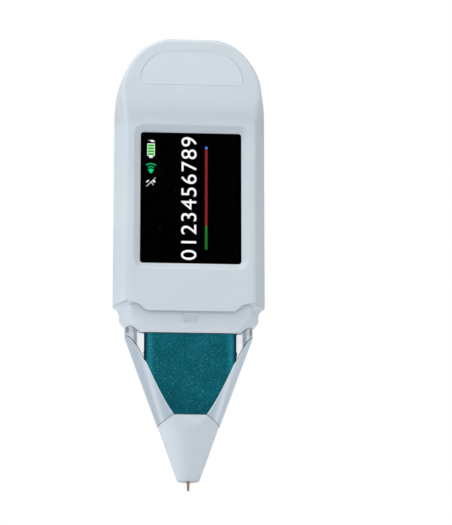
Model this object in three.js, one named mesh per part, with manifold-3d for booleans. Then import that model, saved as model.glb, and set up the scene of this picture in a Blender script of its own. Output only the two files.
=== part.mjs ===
// Handheld diamond tester: a display body on a collar, a cone-cut neck and a sprung heated probe.
// Millimetres, +Z up. The screen faces -Y, and the origin is the tip of the probe pin.

import * as THREE from 'three';
import { mergeVertices } from 'three/addons/utils/BufferGeometryUtils.js';
import Module from 'manifold-3d';

const wasm = await Module();
wasm.setup();

// Heights, stacked upwards from the tip of the pin
const pinReach = 2.85;
const noseHeight = 19.6;
const neckHeight = 25.4;
const collarHeight = 9.4;

// Clearances
const seamGap = 0.25;
const partingGap = 0.3;
const fitGap = 0.25;
const slideGap = 0.25;
const glueGap = 0.1;
const overrun = 2;

// Facets
const coneSegments = 64;
const roundSegments = 32;
const smallSegments = 18;
const domeSteps = 12;
const cornerSteps = 6;
const columnSteps = 8;

// Display body
const bodyMargin = 6.25;
const screenProud = 1.3;
const headProud = 1.2;
const headLean = 1.6;
const rearDepth = 12;
const wall = 2;
const ridgeLand = 1.5;
const sideChamfer = 3.7;
const crownChamfer = 0.8;
const rearChamfer = 5.2;
const rearCrownChamfer = 3.2;
const frontCrease = 1.4;
const rearCrease = 3;
const domeFlatWidth = 12.7;
const domeRise = 23.45;
const domeGap = 7.8;
const headSlope = 5.5;
const blendBelow = 8;
const blendAbove = 11;
const lipWidth = 0.75;
const lipHeight = 1.1;

// Tongue of the front cover over the collar
const tongueDrop = 3.1;
const tongueMargin = 2.3;
const tongueShoulderMargin = 7.65;
const tongueShoulderDrop = 1;
const tongueThickness = 0.6;

// Display recess, its lens and the module behind it
const windowWidth = 31.65;
const windowHeight = 42.1;
const windowRound = 1;
const windowFoot = 12.2;
const bevelWidth = 2.07;
const bevelDepth = 1.8;
const lensThickness = 1.1;
const lensOverlap = 1.3;
const moduleMargin = 1.675;
const moduleEndMargin = 2.65;
const moduleThickness = 2.4;
const bracketThickness = 1;
const bracketWindow = 24;
const bracketLip = 0.8;
const displayRib = 1.2;
const displayRibWidth = 28;

// Blank badge panel in the head
const badgeRise = 7.35;
const badgeCrown = 5.25;
const badgeMargin = 7.85;
const badgeTopMargin = 0.25;
const badgeRound = 1.3;
const badgeThickness = 0.8;

// Main board and what it carries
const boardMargin = 1;
const boardTailWidth = 22;
const boardHeadWidth = 19;
const boardThickness = 1.6;
const boardFoot = 2.9;
const boardTail = 6.2;
const boardShoulder = 5.4;
const boardNeck = 2.6;
const batteryMargin = 1;
const batteryThickness = 7.8;
const batteryRound = 3.4;
const batteryRibWidth = 1.4;
const batteryRibLength = 30;
const usbWidth = 8.9;
const usbHeight = 3.2;
const usbLength = 7.4;
const usbWall = 0.35;
const usbFloor = 1.4;
const usbTongueThickness = 0.7;
const buzzerRadius = 4.4;
const buzzerHeight = 3.4;
const buzzerPortRadius = 1.1;
const chipMargin = 2.1;
const chipEndMargin = 1.3;
const chipThickness = 1;
const connectorWidth = 7;
const connectorHeight = 4;
const connectorThickness = 3;
const switchWidth = 4;
const switchLength = 6;
const switchInset = 1.6;
const ledWidth = 1.6;
const ledThickness = 1.2;
const ledHeight = 1.8;

// Fasteners
const screwHeadRadius = 1.9;
const screwHeadHeight = 1.7;
const screwShankRadius = 0.95;
const screwSlot = 0.6;
const screwSlotLength = 2.6;
const pilotRadius = 1.2;
const bossWall = 1.25;
const screwRecess = 4;
const screwBite = 6.5;
const boardScrewLength = 3.4;
const upperScrewSpread = 14;
const upperScrewRise = 9;
const lowerScrewSpread = 15.5;
const lowerScrewRise = 5.6;
const boardScrewMargin = 0.5;
const boardScrewRise = 7.2;

// Collar
const flareMargin = 0.3;
const collarMargin = 2;
const collarChamfer = 2.85;
const collarFootMargin = 4.1;
const collarFootChamfer = 2.45;
const collarProud = 0.9;
const collarSlant = 5.05;
const collarBand = 2.05;
const collarFloor = 2.5;
const socketDepth = 3.1;
const spigotHeight = 2.1;
const spigotWall = 1.6;
const wireRadius = 4;
const notchWidth = 4.3;
const notchHeight = 2.1;
const notchInset = 0.5;
const pipeColumnWidth = 2.6;
const pipeColumnDepth = 1.8;

// Neck and its panels
const neckMargin = 1.75;
const neckDepth = 17.2;
const columnReach = 5.65;
const skin = 1;
const railThickness = 1.3;
const railLip = 0.3;
const railProud = 0.15;
const shellWall = 1.25;
const panelProud = 0.45;
const panelRound = 1.4;
const panelRoll = 0.75;
const tenonMargin = 3.05;
const tenonSetBack = 1.2;
const tenonRound = 2;
const tenonOpening = 16.6;
const tenonWall = 1.6;
const tenonRoot = 2;
const neckScrewSpread = 11;
const neckScrewLength = 6;

// Nose
const noseEndRadius = 3.39;
const noseStep = 0.25;
const noseFlatStep = 0.1;
const noseSeamWidth = 10.4;
const noseSeamDrop = 2.52;
const noseSeamRun = 4.2;
const noseRound = 0.5;
const roundShare = 0.25;
const noseSpigot = 5;
const noseSpigotWall = 1.5;
const noseLand = 2.4;
const guideSeat = 10.4;

// Probe
const pinTipRadius = 0.35;
const pinRadius = 0.5;
const pinShankRadius = 0.8;
const pinShankFoot = 5;
const pinHoleRadius = 0.85;
const guideRadius = 2.2;
const guideFlangeRadius = 4.4;
const guideFlange = 1.5;
const heaterRadius = 4.2;
const heaterHeight = 12;
const heaterGroove = 0.9;
const pinGrip = 8;
const elementRadius = 1.8;
const elementHeight = 5;
const springRadius = 3;
const springWire = 0.7;
const springTurns = 9;
const springStepsPerTurn = 10;
const springSides = 5;
const seatThickness = 2;
const seatRim = 1.2;
const seatWireRadius = 1.6;

// Power button
const buttonLength = 11;
const buttonHeight = 4;
const buttonBack = 4.5;
const buttonDrop = 2;
const buttonProud = 0.45;
const buttonTravel = 0.5;
const buttonFlange = 0.9;
const buttonFlangeThickness = 1;
const stemHeight = 1.6;
const stemLength = 3;

// Widths, from the display's window out to the body and down to the neck
const moduleWidth = windowWidth + 2 * moduleMargin;
const boardWidth = moduleWidth - 2 * boardMargin;
const batteryWidth = boardWidth - 2 * batteryMargin;
const bodyWidth = moduleWidth + 2 * bodyMargin;
const tongueShoulderWidth = bodyWidth - 2 * tongueShoulderMargin;
const tongueWidth = tongueShoulderWidth - 2 * tongueMargin;
const badgeWidth = bodyWidth - 2 * badgeMargin;
const badgeTopWidth = domeFlatWidth - 2 * badgeTopMargin;
const flareWidth = bodyWidth - 2 * flareMargin;
const collarWidth = bodyWidth - 2 * collarMargin;
const collarFlatWidth = collarWidth - 2 * collarChamfer;
const collarFootWidth = collarWidth - 2 * collarFootMargin;
const collarFootFlatWidth = collarFootWidth - 2 * collarFootChamfer;
const neckWidth = collarWidth - 2 * neckMargin;
const tenonWidth = collarFootWidth - 2 * tenonMargin;
const bodyHalf = bodyWidth / 2;
const neckHalf = neckWidth / 2;
const neckFlatHalf = neckHalf - columnReach;
const domeWidth = bodyHalf - domeFlatWidth / 2;

// Depths, from the neck out to the head
const neckHalfDepth = neckDepth / 2;
const collarDepth = neckDepth + 2 * collarProud;
const tenonDepth = neckDepth - 2 * tenonSetBack;
const screenDepth = collarDepth / 2 + screenProud;
const headDepth = screenDepth + headProud;

// Heights
const noseFoot = pinReach;
const noseHead = noseFoot + noseHeight;
const neckHead = noseHead + neckHeight;
const collarHead = neckHead + collarHeight;
const coverFoot = collarHead + partingGap;
const screenFoot = coverFoot + windowFoot;
const screenHead = screenFoot + windowHeight;
const moduleFoot = screenFoot - moduleEndMargin;
const moduleHead = screenHead + moduleEndMargin;
const domeFoot = screenHead + domeGap;
const coverHead = domeFoot + domeRise;
const slopeFoot = domeFoot - headSlope;
const badgeBase = domeFoot + badgeRise;
const badgeHead = coverHead - badgeCrown;
const partingHalf = partingGap / 2;
const coneSlope = (neckHalf - noseEndRadius) / (neckHead - noseFoot);
const coneCosine = 1 / Math.hypot(1, coneSlope);

// Layers behind the screen, from the lens to the back of the board
const lensFace = wall - screenDepth;
const lensBack = lensFace + lensThickness;
const moduleFace = lensBack + glueGap;
const moduleBack = moduleFace + moduleThickness;
const bracketFace = moduleBack + glueGap;
const bracketBack = bracketFace + bracketThickness;
const boardFace = bracketBack + glueGap;
const boardBack = boardFace + boardThickness;
const batteryFace = boardBack + chipThickness + glueGap;
const batteryBack = batteryFace + batteryThickness;

// A closed geometry whose faces may all point in or all out, as a solid that points out
function solid(geometry) {
  const bare = geometry.clone();
  bare.deleteAttribute('normal');
  bare.deleteAttribute('uv');
  const merged = mergeVertices(bare);
  const points = merged.attributes.position.array;
  const faces = [];
  let volume = 0;
  for (let i = 0; i < merged.index.count; i += 3) {
    const [a, b, c] = [0, 1, 2].map((corner) => merged.index.getX(i + corner));
    if (a === b || b === c || c === a) continue;
    faces.push(a, b, c);
    const [p, q, r] = [a, b, c].map((vertex) => new THREE.Vector3().fromArray(points, 3 * vertex));
    volume += p.dot(q.cross(r));
  }
  if (volume < 0) faces.reverse();
  const mesh = new wasm.Mesh({
    numProp: 3,
    vertProperties: new Float32Array(points),
    triVerts: new Uint32Array(faces),
  });
  return new wasm.Manifold(mesh);
}

function joined(first, ...rest) {
  return rest.reduce((whole, piece) => whole.add(piece), first);
}

function cut(first, ...rest) {
  return rest.reduce((whole, piece) => whole.subtract(piece), first);
}

function common(first, ...rest) {
  return rest.reduce((whole, piece) => whole.intersect(piece), first);
}

// A box between two corners
function slab(left, right, front, back, foot, head) {
  const box = new THREE.BoxGeometry(right - left, back - front, head - foot);
  box.translate((left + right) / 2, (front + back) / 2, (foot + head) / 2);
  return solid(box);
}

// A box that is centred on X = 0
function centredSlab(width, front, back, foot, head) {
  return slab(-width / 2, width / 2, front, back, foot, head);
}

// A frustum on the Z axis
function frustum(footRadius, headRadius, foot, head, segments) {
  const shape = new THREE.CylinderGeometry(headRadius, footRadius, head - foot, segments);
  shape.rotateX(Math.PI / 2);
  shape.translate(0, 0, (foot + head) / 2);
  return solid(shape);
}

// A round bar along Y, centred on a place in the XZ plane
function crossBar(radius, x, z, front, back, segments = smallSegments) {
  const shape = new THREE.CylinderGeometry(radius, radius, back - front, segments);
  shape.translate(x, (front + back) / 2, z);
  return solid(shape);
}

// A round bar along Z, centred on a place in the XY plane
function uprightBar(radius, x, y, foot, head, segments = smallSegments) {
  return frustum(radius, radius, foot, head, segments).translate([x, y, 0]);
}

// A profile of [radius, height] pairs turned about the Z axis
function turned(profile, segments) {
  const shape = new THREE.LatheGeometry(profile.map(([r, z]) => new THREE.Vector2(r, z)), segments);
  shape.rotateX(Math.PI / 2);
  return solid(shape);
}

// An XZ outline pushed from the front to the back
function plate(outline, front, back) {
  const shape = new THREE.ExtrudeGeometry(outline, {
    depth: back - front, bevelEnabled: false, steps: 1, curveSegments: cornerSteps,
  });
  shape.rotateX(Math.PI / 2);
  shape.translate(0, back, 0);
  return solid(shape);
}

// A solid through rings of as many points each. A ring is given by its right side, and is mirrored in X.
function loft(sides) {
  const rings = sides.map((side) => [...side, ...side.map(([x, y, z]) => [-x, y, z]).reverse()]);
  const count = rings[0].length;
  const faces = [];
  const quad = (a, b, c, d) => faces.push(a, b, c, a, c, d);
  for (let level = 0; level + 1 < rings.length; level += 1) {
    const base = level * count;
    for (let i = 0; i < count; i += 1) {
      const next = (i + 1) % count;
      quad(base + i, base + next, base + count + next, base + count + i);
    }
  }
  const last = (rings.length - 1) * count;
  for (let i = 0; i + 1 < count / 2; i += 1) {
    quad(i, count - 1 - i, count - 2 - i, i + 1);
    quad(last + i, last + i + 1, last + count - 2 - i, last + count - 1 - i);
  }
  const geometry = new THREE.BufferGeometry();
  geometry.setAttribute('position', new THREE.Float32BufferAttribute(rings.flat(2), 3));
  geometry.setIndex(faces);
  return solid(geometry);
}

// An XZ rectangle with round corners
function roundedRectangle(width, foot, head, radius) {
  const half = width / 2;
  const shape = new THREE.Shape();
  shape.moveTo(radius - half, foot);
  shape.lineTo(half - radius, foot);
  shape.absarc(half - radius, foot + radius, radius, -Math.PI / 2, 0);
  shape.absarc(half - radius, head - radius, radius, 0, Math.PI / 2);
  shape.absarc(radius - half, head - radius, radius, Math.PI / 2, Math.PI);
  shape.absarc(radius - half, foot + radius, radius, Math.PI, 1.5 * Math.PI);
  return shape;
}

// The same rectangle as the right side of a loft's ring, at one depth
function rectangleSide(half, foot, head, radius, y) {
  const side = [];
  for (let i = 0; i <= cornerSteps; i += 1) {
    const turn = (i / cornerSteps - 1) * (Math.PI / 2);
    side.push([half - radius + radius * Math.cos(turn), y, foot + radius + radius * Math.sin(turn)]);
  }
  for (let i = 0; i <= cornerSteps; i += 1) {
    const turn = (i / cornerSteps) * (Math.PI / 2);
    side.push([half - radius + radius * Math.cos(turn), y, head - radius + radius * Math.sin(turn)]);
  }
  return side;
}

// Places along the right side of the covers' widest outline, each with its outward normal
function coverStations(foot) {
  const straight = [foot, domeFoot - blendBelow, slopeFoot, (slopeFoot + domeFoot) / 2, domeFoot];
  const stations = straight.map((z) => ({ x: bodyHalf, z, nx: 1, nz: 0 }));
  for (let i = 1; i <= domeSteps; i += 1) {
    const turn = (i / domeSteps) * (Math.PI / 2);
    const x = bodyHalf - domeWidth + domeWidth * Math.cos(turn);
    const z = domeFoot + domeRise * Math.sin(turn);
    const normal = new THREE.Vector2(domeRise * Math.cos(turn), domeWidth * Math.sin(turn)).normalize();
    stations.push({ x, z, nx: normal.x, nz: normal.y });
  }
  return stations;
}

// The chamfer's width at a height: full on the sides, narrow round the dome
function chamferAt(z, side, crown) {
  const share = THREE.MathUtils.smoothstep(z, domeFoot - blendBelow, domeFoot + blendAbove);
  return THREE.MathUtils.lerp(side, crown, share);
}

// The front face's depth at a height: the head stands proud of the screen face, and leans back above that
function frontDepthAt(z) {
  const share = THREE.MathUtils.clamp((z - slopeFoot) / (domeFoot - slopeFoot), 0, 1);
  const lean = Math.max(0, z - domeFoot) * headLean / domeRise;
  return THREE.MathUtils.lerp(screenDepth, headDepth, share) - lean;
}

// Turns what is made on an upright head face onto the leaning one
function leaned(form) {
  const turn = THREE.MathUtils.radToDeg(Math.atan(headLean / domeRise));
  return form.translate([0, headDepth, -domeFoot]).rotate([-turn, 0, 0]).translate([0, -headDepth, domeFoot]);
}

// What differs between the front and the rear cover
const frontForm = {
  way: -1,
  depthAt: frontDepthAt,
  chamferAt: (z) => chamferAt(z, sideChamfer, crownChamfer),
  crease: frontCrease,
};
const rearForm = {
  way: 1,
  depthAt: () => rearDepth,
  chamferAt: (z) => chamferAt(z, rearChamfer, rearCrownChamfer),
  crease: rearCrease,
};

function insetSide(stations, insetAt, depthAt) {
  return stations.map((station) => {
    const inset = insetAt(station);
    const z = station.z - station.nz * inset;
    return [station.x - station.nx * inset, depthAt(station, z), z];
  });
}

// A cover's outer form: a land at the parting line, a slanted side and a soft crease to the flat face
function coverOuter(form, foot) {
  const stations = coverStations(foot);
  const sides = [
    insetSide(stations, () => 0, () => form.way * partingHalf),
    insetSide(stations, () => 0, () => form.way * ridgeLand),
  ];
  const creaseShares = [0, 0.25, 0.5, 0.75, 1];
  for (const share of creaseShares) {
    const insetAt = (station) => {
      const chamfer = form.chamferAt(station.z);
      const run = form.depthAt(station.z) - ridgeLand;
      const start = chamfer * (1 - form.crease / Math.hypot(chamfer, run));
      return THREE.MathUtils.lerp(
        THREE.MathUtils.lerp(start, chamfer, share),
        THREE.MathUtils.lerp(chamfer, chamfer + form.crease, share),
        share,
      );
    };
    const depthAt = (station, z) => {
      const chamfer = form.chamferAt(station.z);
      const depth = form.depthAt(z);
      const start = depth - form.crease * (depth - ridgeLand) / Math.hypot(chamfer, depth - ridgeLand);
      return form.way * THREE.MathUtils.lerp(
        THREE.MathUtils.lerp(start, depth, share), depth, share,
      );
    };
    sides.push(insetSide(stations, insetAt, depthAt));
  }
  return loft(sides);
}

// The inset of the cavity where it meets the flat face's inner side
function innerInset(form, z) {
  const depth = form.depthAt(z);
  return wall + form.chamferAt(z) * (depth - wall - ridgeLand) / (depth - ridgeLand);
}

// The space inside a cover, open at the parting line and at its foot
function coverCavity(form, foot) {
  const stations = coverStations(foot);
  return loft([
    insetSide(stations, () => wall, () => -form.way * overrun),
    insetSide(stations, () => wall, () => form.way * ridgeLand),
    insetSide(
      stations,
      (station) => innerInset(form, station.z),
      (station, z) => form.way * (form.depthAt(z) - wall),
    ),
  ]);
}

// A straight-sided block with the covers' outline, drawn in by an inset
function coverBlock(inset, foot, front, back) {
  const stations = coverStations(foot);
  return loft([
    insetSide(stations, () => inset, () => front),
    insetSide(stations, () => inset, () => back),
  ]);
}

const coverScrewPlaces = [
  [-upperScrewSpread, domeFoot + upperScrewRise],
  [upperScrewSpread, domeFoot + upperScrewRise],
  [-lowerScrewSpread, coverFoot + lowerScrewRise],
  [lowerScrewSpread, coverFoot + lowerScrewRise],
];
const switchLeft = boardWidth / 2 - switchInset - switchWidth;
const boardScrewSpread = switchLeft - screwHeadRadius - boardScrewMargin;
const chipWidth = 2 * (boardScrewSpread - screwHeadRadius - chipMargin);
const boardScrewHeight = moduleHead + boardScrewRise - displayRib;
const boardScrewPlaces = [
  [-boardScrewSpread, boardScrewHeight],
  [boardScrewSpread, boardScrewHeight],
];

// The tongue's outline: everything under this line is cut from the front cover
function tongueCut(way) {
  const foot = coverFoot - tongueDrop;
  const shape = new THREE.Shape();
  shape.moveTo(way * tongueWidth / 2, foot - overrun);
  shape.lineTo(way * tongueWidth / 2, foot);
  shape.lineTo(way * tongueShoulderWidth / 2, coverFoot - tongueShoulderDrop);
  shape.lineTo(way * (bodyHalf - sideChamfer), coverFoot);
  shape.lineTo(way * (bodyHalf + overrun), coverFoot);
  shape.lineTo(way * (bodyHalf + overrun), foot - overrun);
  return plate(shape, -headDepth - overrun, overrun);
}

// The bevelled recess, from beyond the face down to the window opening, and the opening itself
function displayCut() {
  const slope = bevelWidth / bevelDepth;
  const rise = overrun * slope;
  const outerHalf = windowWidth / 2 + bevelWidth + rise;
  const floor = bevelDepth - screenDepth;
  const outer = rectangleSide(
    outerHalf, screenFoot - bevelWidth - rise, screenHead + bevelWidth + rise,
    windowRound + bevelWidth + rise, -screenDepth - overrun,
  );
  const inner = rectangleSide(windowWidth / 2, screenFoot, screenHead, windowRound, floor);
  const through = rectangleSide(windowWidth / 2, screenFoot, screenHead, windowRound, lensFace + overrun);
  return loft([outer, inner, through]);
}

// The badge panel's outline: straight foot, round shoulders, flat top
function badgeOutline(grow) {
  const half = badgeWidth / 2 + grow;
  const topHalf = badgeTopWidth / 2;
  const foot = badgeBase - grow;
  const head = badgeHead + grow;
  const springing = badgeBase + badgeRound;
  const radius = badgeRound + grow;
  const shape = new THREE.Shape();
  shape.moveTo(radius - half, foot);
  shape.lineTo(half - radius, foot);
  shape.absarc(half - radius, foot + radius, radius, -Math.PI / 2, 0);
  shape.absellipse(topHalf, springing, half - topHalf, head - springing, 0, Math.PI / 2);
  shape.absellipse(-topHalf, springing, half - topHalf, head - springing, Math.PI / 2, Math.PI);
  shape.absarc(radius - half, foot + radius, radius, Math.PI, 1.5 * Math.PI);
  return shape;
}

const usbMiddle = boardBack + usbHeight / 2;

// The opening in the dome for the charging socket
function usbCut() {
  const half = usbHeight / 2 + fitGap;
  const width = usbWidth + 2 * fitGap;
  return centredSlab(
    width, usbMiddle - half, usbMiddle + half, coverHead - wall - overrun, coverHead + overrun,
  );
}

function frontCover() {
  const foot = coverFoot - tongueDrop;
  const outer = coverOuter(frontForm, foot);
  const shell = cut(
    outer,
    coverCavity(frontForm, foot - overrun),
    coverBlock(wall - lipWidth - fitGap, foot - overrun, -lipHeight - partingGap, overrun),
    slab(-bodyWidth, bodyWidth, tongueThickness - screenDepth, overrun, foot - overrun, coverFoot),
  );
  const bosses = coverScrewPlaces.map(([x, z]) => (
    crossBar(pilotRadius + bossWall, x, z, wall / 2 - headDepth, -partingHalf)
  ));
  const posts = boardScrewPlaces.map(([x, z]) => (
    crossBar(pilotRadius + bossWall / 2, x, z, wall / 2 - headDepth, boardFace - glueGap)
  ));
  const ribFront = lensFace - wall / 2;
  const ribBack = bracketFace - glueGap;
  const lowerRib = centredSlab(
    displayRibWidth, ribFront, ribBack, moduleFoot - fitGap - displayRib, moduleFoot - fitGap,
  );
  const upperRib = centredSlab(
    displayRibWidth, ribFront, ribBack, moduleHead + fitGap, moduleHead + fitGap + displayRib,
  );
  const inside = common(joined(bosses[0], ...bosses.slice(1), ...posts, lowerRib, upperRib), outer);
  const pilots = coverScrewPlaces.map(([x, z]) => (
    crossBar(pilotRadius, x, z, -screwBite - fitGap, overrun)
  ));
  const boardPilots = boardScrewPlaces.map(([x, z]) => (
    crossBar(pilotRadius, x, z, boardBack - boardScrewLength - fitGap, overrun)
  ));
  return cut(
    joined(shell, inside),
    tongueCut(-1),
    tongueCut(1),
    displayCut(),
    leaned(plate(badgeOutline(seamGap), -headDepth - overrun, badgeThickness + glueGap - headDepth)),
    ...pilots,
    ...boardPilots,
    usbCut(),
  );
}

const screwSeat = rearDepth - screwRecess;

// The slanted wall's outer face beside the button, as a half width at a depth behind the parting line
function rearSideAt(y) {
  return bodyHalf - rearChamfer * (y - ridgeLand) / (rearDepth - ridgeLand);
}

const buttonMiddle = domeFoot - buttonDrop;

function rearCover() {
  const outer = coverOuter(rearForm, coverFoot);
  const shell = cut(outer, coverCavity(rearForm, coverFoot - overrun));
  const lipFoot = coverFoot + spigotHeight + fitGap;
  const lip = cut(
    coverBlock(wall - lipWidth, lipFoot, -lipHeight, ridgeLand),
    coverBlock(wall, lipFoot - overrun, -lipHeight - overrun, ridgeLand + overrun),
  );
  const bosses = coverScrewPlaces.map(([x, z]) => joined(
    crossBar(pilotRadius + bossWall, x, z, partingHalf, rearDepth - wall / 2),
    crossBar(screwHeadRadius + fitGap + bossWall, x, z, screwSeat - wall, rearDepth - wall / 2),
  ));
  const ribFront = batteryBack + glueGap;
  const batteryMiddle = (screenFoot + screenHead) / 2;
  const ribs = [-1, 0, 1].map((place) => slab(
    place * batteryWidth / 3 - batteryRibWidth / 2,
    place * batteryWidth / 3 + batteryRibWidth / 2,
    ribFront, rearDepth - wall / 2,
    batteryMiddle - batteryRibLength / 2, batteryMiddle + batteryRibLength / 2,
  ));
  const inside = common(joined(bosses[0], ...bosses.slice(1), ...ribs), outer);
  const clearances = coverScrewPlaces.flatMap(([x, z]) => [
    crossBar(pilotRadius, x, z, -overrun, rearDepth),
    crossBar(screwHeadRadius + fitGap, x, z, screwSeat, rearDepth + overrun),
  ]);
  const hole = slab(
    bodyHalf - rearChamfer - wall, bodyWidth,
    buttonBack - buttonHeight / 2 - slideGap, buttonBack + buttonHeight / 2 + slideGap,
    buttonMiddle - buttonLength / 2 - slideGap, buttonMiddle + buttonLength / 2 + slideGap,
  );
  return cut(joined(shell, lip, inside), ...clearances, hole, usbCut());
}

function badgePanel() {
  return leaned(plate(badgeOutline(0), -headDepth, badgeThickness - headDepth));
}

function displayWindow() {
  const outline = roundedRectangle(
    windowWidth + 2 * lensOverlap, screenFoot - lensOverlap, screenHead + lensOverlap,
    windowRound + lensOverlap,
  );
  return plate(outline, lensFace, lensBack);
}

function displayPanel() {
  const bezel = bracketLip;
  const glass = centredSlab(
    moduleWidth - 2 * bezel, moduleFace, moduleBack, moduleFoot + bezel, moduleHead - bezel,
  );
  const tray = centredSlab(
    moduleWidth, (moduleFace + moduleBack) / 2, moduleBack, moduleFoot, moduleHead,
  );
  return joined(glass, tray);
}

// A frame behind the display module, with a lip at each end and an opening for the ribbon
function displayBracket() {
  const frame = centredSlab(moduleWidth, bracketFace, bracketBack, moduleFoot, moduleHead);
  const opening = centredSlab(
    bracketWindow, bracketFace - overrun, bracketBack + overrun,
    moduleFoot + bracketWindow / 2, moduleHead - bracketWindow / 2,
  );
  return cut(frame, opening);
}

function boardOutline() {
  const foot = coverFoot + boardFoot;
  const tail = foot + boardTail;
  const shoulder = domeFoot - boardShoulder + boardTail;
  const neckFoot = shoulder + boardNeck;
  const head = boardHead;
  const shape = new THREE.Shape();
  shape.moveTo(-boardTailWidth / 2, foot);
  shape.lineTo(boardTailWidth / 2, foot);
  shape.lineTo(boardTailWidth / 2, tail);
  shape.lineTo(boardWidth / 2, tail);
  shape.lineTo(boardWidth / 2, shoulder);
  shape.lineTo(boardHeadWidth / 2, neckFoot);
  shape.lineTo(boardHeadWidth / 2, head);
  shape.lineTo(-boardHeadWidth / 2, head);
  shape.lineTo(-boardHeadWidth / 2, neckFoot);
  shape.lineTo(-boardWidth / 2, shoulder);
  shape.lineTo(-boardWidth / 2, tail);
  shape.lineTo(-boardTailWidth / 2, tail);
  return shape;
}

function mainBoard() {
  const holes = boardScrewPlaces.map(([x, z]) => (
    crossBar(pilotRadius, x, z, boardFace - overrun, boardBack + overrun)
  ));
  return cut(plate(boardOutline(), boardFace, boardBack), ...holes);
}

function battery() {
  return plate(
    roundedRectangle(batteryWidth, screenFoot, screenHead, batteryRound), batteryFace, batteryBack,
  );
}

// A flat metal tube with round ends and a contact tongue in it
function usbSocket() {
  const radius = usbHeight / 2;
  const head = coverHead - usbWall;
  const foot = head - usbLength;
  const tube = (grow, from, to) => {
    const shape = new THREE.Shape();
    const reach = usbWidth / 2 - radius;
    shape.absarc(reach, usbMiddle, radius + grow, -Math.PI / 2, Math.PI / 2);
    shape.absarc(-reach, usbMiddle, radius + grow, Math.PI / 2, 1.5 * Math.PI);
    const form = new THREE.ExtrudeGeometry(shape, {
      depth: to - from, bevelEnabled: false, steps: 1, curveSegments: cornerSteps,
    });
    form.translate(0, 0, from);
    return solid(form);
  };
  const shell = cut(tube(0, foot, head), tube(-usbWall, foot + usbFloor, head + overrun));
  const tongue = centredSlab(
    usbWidth - usbHeight, usbMiddle - usbTongueThickness / 2, usbMiddle + usbTongueThickness / 2,
    foot + usbFloor - usbWall, head - usbFloor,
  );
  return joined(shell, tongue);
}

const boardHead = coverHead - wall - usbLength + usbWall;
const buzzerMiddle = boardHead - buzzerRadius - usbWall;

function buzzer() {
  const z = buzzerMiddle;
  const face = boardBack + glueGap;
  const body = crossBar(buzzerRadius, 0, z, face, face + buzzerHeight, roundSegments);
  const port = crossBar(buzzerPortRadius, 0, z, face + buzzerHeight / 2, face + buzzerHeight + overrun);
  return cut(body, port);
}

function controllerChip() {
  const foot = screenHead + chipEndMargin;
  const head = buzzerMiddle - buzzerRadius - chipEndMargin;
  const face = boardBack + glueGap;
  return centredSlab(chipWidth, face, face + chipThickness, foot, head);
}

function batteryConnector() {
  const foot = coverFoot + boardFoot + usbWall;
  const face = boardBack + glueGap;
  const body = centredSlab(connectorWidth, face, face + connectorThickness, foot, foot + connectorHeight);
  const mouth = centredSlab(
    connectorWidth - 2 * usbWall - glueGap, face + usbWall + glueGap,
    face + connectorThickness - usbWall, foot + connectorHeight / 2, foot + connectorHeight + overrun,
  );
  return cut(body, mouth);
}

const stemFront = buttonBack - buttonHeight / 2;
const stemBack = stemFront + stemHeight;

// A switch that stands on the board as high as the button's stem
function powerSwitch() {
  return slab(
    switchLeft, switchLeft + switchWidth, boardBack + glueGap, stemBack,
    buttonMiddle - switchLength / 2, buttonMiddle + switchLength / 2,
  );
}

const ledFoot = coverFoot + boardFoot + usbWall;

function statusLed() {
  return centredSlab(
    ledWidth, boardFace - glueGap - ledThickness, boardFace - glueGap, ledFoot, ledFoot + ledHeight,
  );
}

const floorFoot = neckHead + socketDepth;
const floorHead = floorFoot + collarFloor;
const notchFoot = floorFoot + (collarFloor - notchHeight) / 2;
const notchHead = notchFoot + notchHeight;

// A clear bar from the notch in the collar, bent up to the lamp on the board
function statusLightPipe() {
  const columnBack = boardFace - glueGap;
  const columnFront = columnBack - pipeColumnDepth;
  const bar = centredSlab(
    notchWidth - 2 * fitGap, notchInset - collarDepth / 2, columnBack,
    notchFoot + fitGap, notchHead - fitGap,
  );
  const column = centredSlab(
    pipeColumnWidth, columnFront, columnBack, notchFoot + fitGap, ledFoot - partingGap,
  );
  return joined(bar, column);
}

// The collar's eight-sided section, as the right side of a ring
function collarSide(half, flat, depth, z) {
  return [[flat, -depth, z], [half, -ridgeLand, z], [half, ridgeLand, z], [flat, depth, z]];
}

// The collar's outer form, from its slanted foot to the flare under the covers
function collarOuter(grow) {
  const depth = collarDepth / 2 + grow;
  const half = collarWidth / 2 + grow;
  const flat = collarFlatWidth / 2 + grow;
  const bandFoot = neckHead + collarSlant;
  const bandHead = bandFoot + collarBand;
  const flare = flareWidth / 2 + grow - half;
  const sides = [
    collarSide(collarFootWidth / 2 + grow, collarFootFlatWidth / 2 + grow, depth, neckHead - grow),
    collarSide(half, flat, depth, bandFoot),
    collarSide(half, flat, depth, bandHead),
  ];
  const flareShares = [[0.35, 0.14], [0.7, 0.47], [1, 1]];
  for (const [riseShare, widthShare] of flareShares) {
    const z = THREE.MathUtils.lerp(bandHead, collarHead, riseShare);
    sides.push(collarSide(half + widthShare * flare, flat, depth, z));
  }
  return loft(sides);
}

// The space inside the covers near their foot, drawn in by an inset, as the right side of a ring
function spigotSide(inset, z) {
  const ridge = bodyHalf - wall - inset;
  const front = bodyHalf - innerInset(frontForm, coverFoot) - inset;
  const rear = bodyHalf - innerInset(rearForm, coverFoot) - inset;
  return [
    [front, wall + inset - screenDepth, z],
    [ridge, -ridgeLand, z],
    [ridge, ridgeLand, z],
    [rear, rearDepth - wall - inset, z],
  ];
}

// The upright block that the neck pushes into the collar
function tenonBlock(grow, foot, head) {
  const half = tenonWidth / 2 + grow;
  const depth = tenonDepth / 2 + grow;
  const radius = tenonRound + grow;
  const ring = (z) => rectangleSide(half, -depth, depth, radius, z).map(([x, level, y]) => [x, y, level]);
  return loft([ring(foot), ring(head)]);
}

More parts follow.
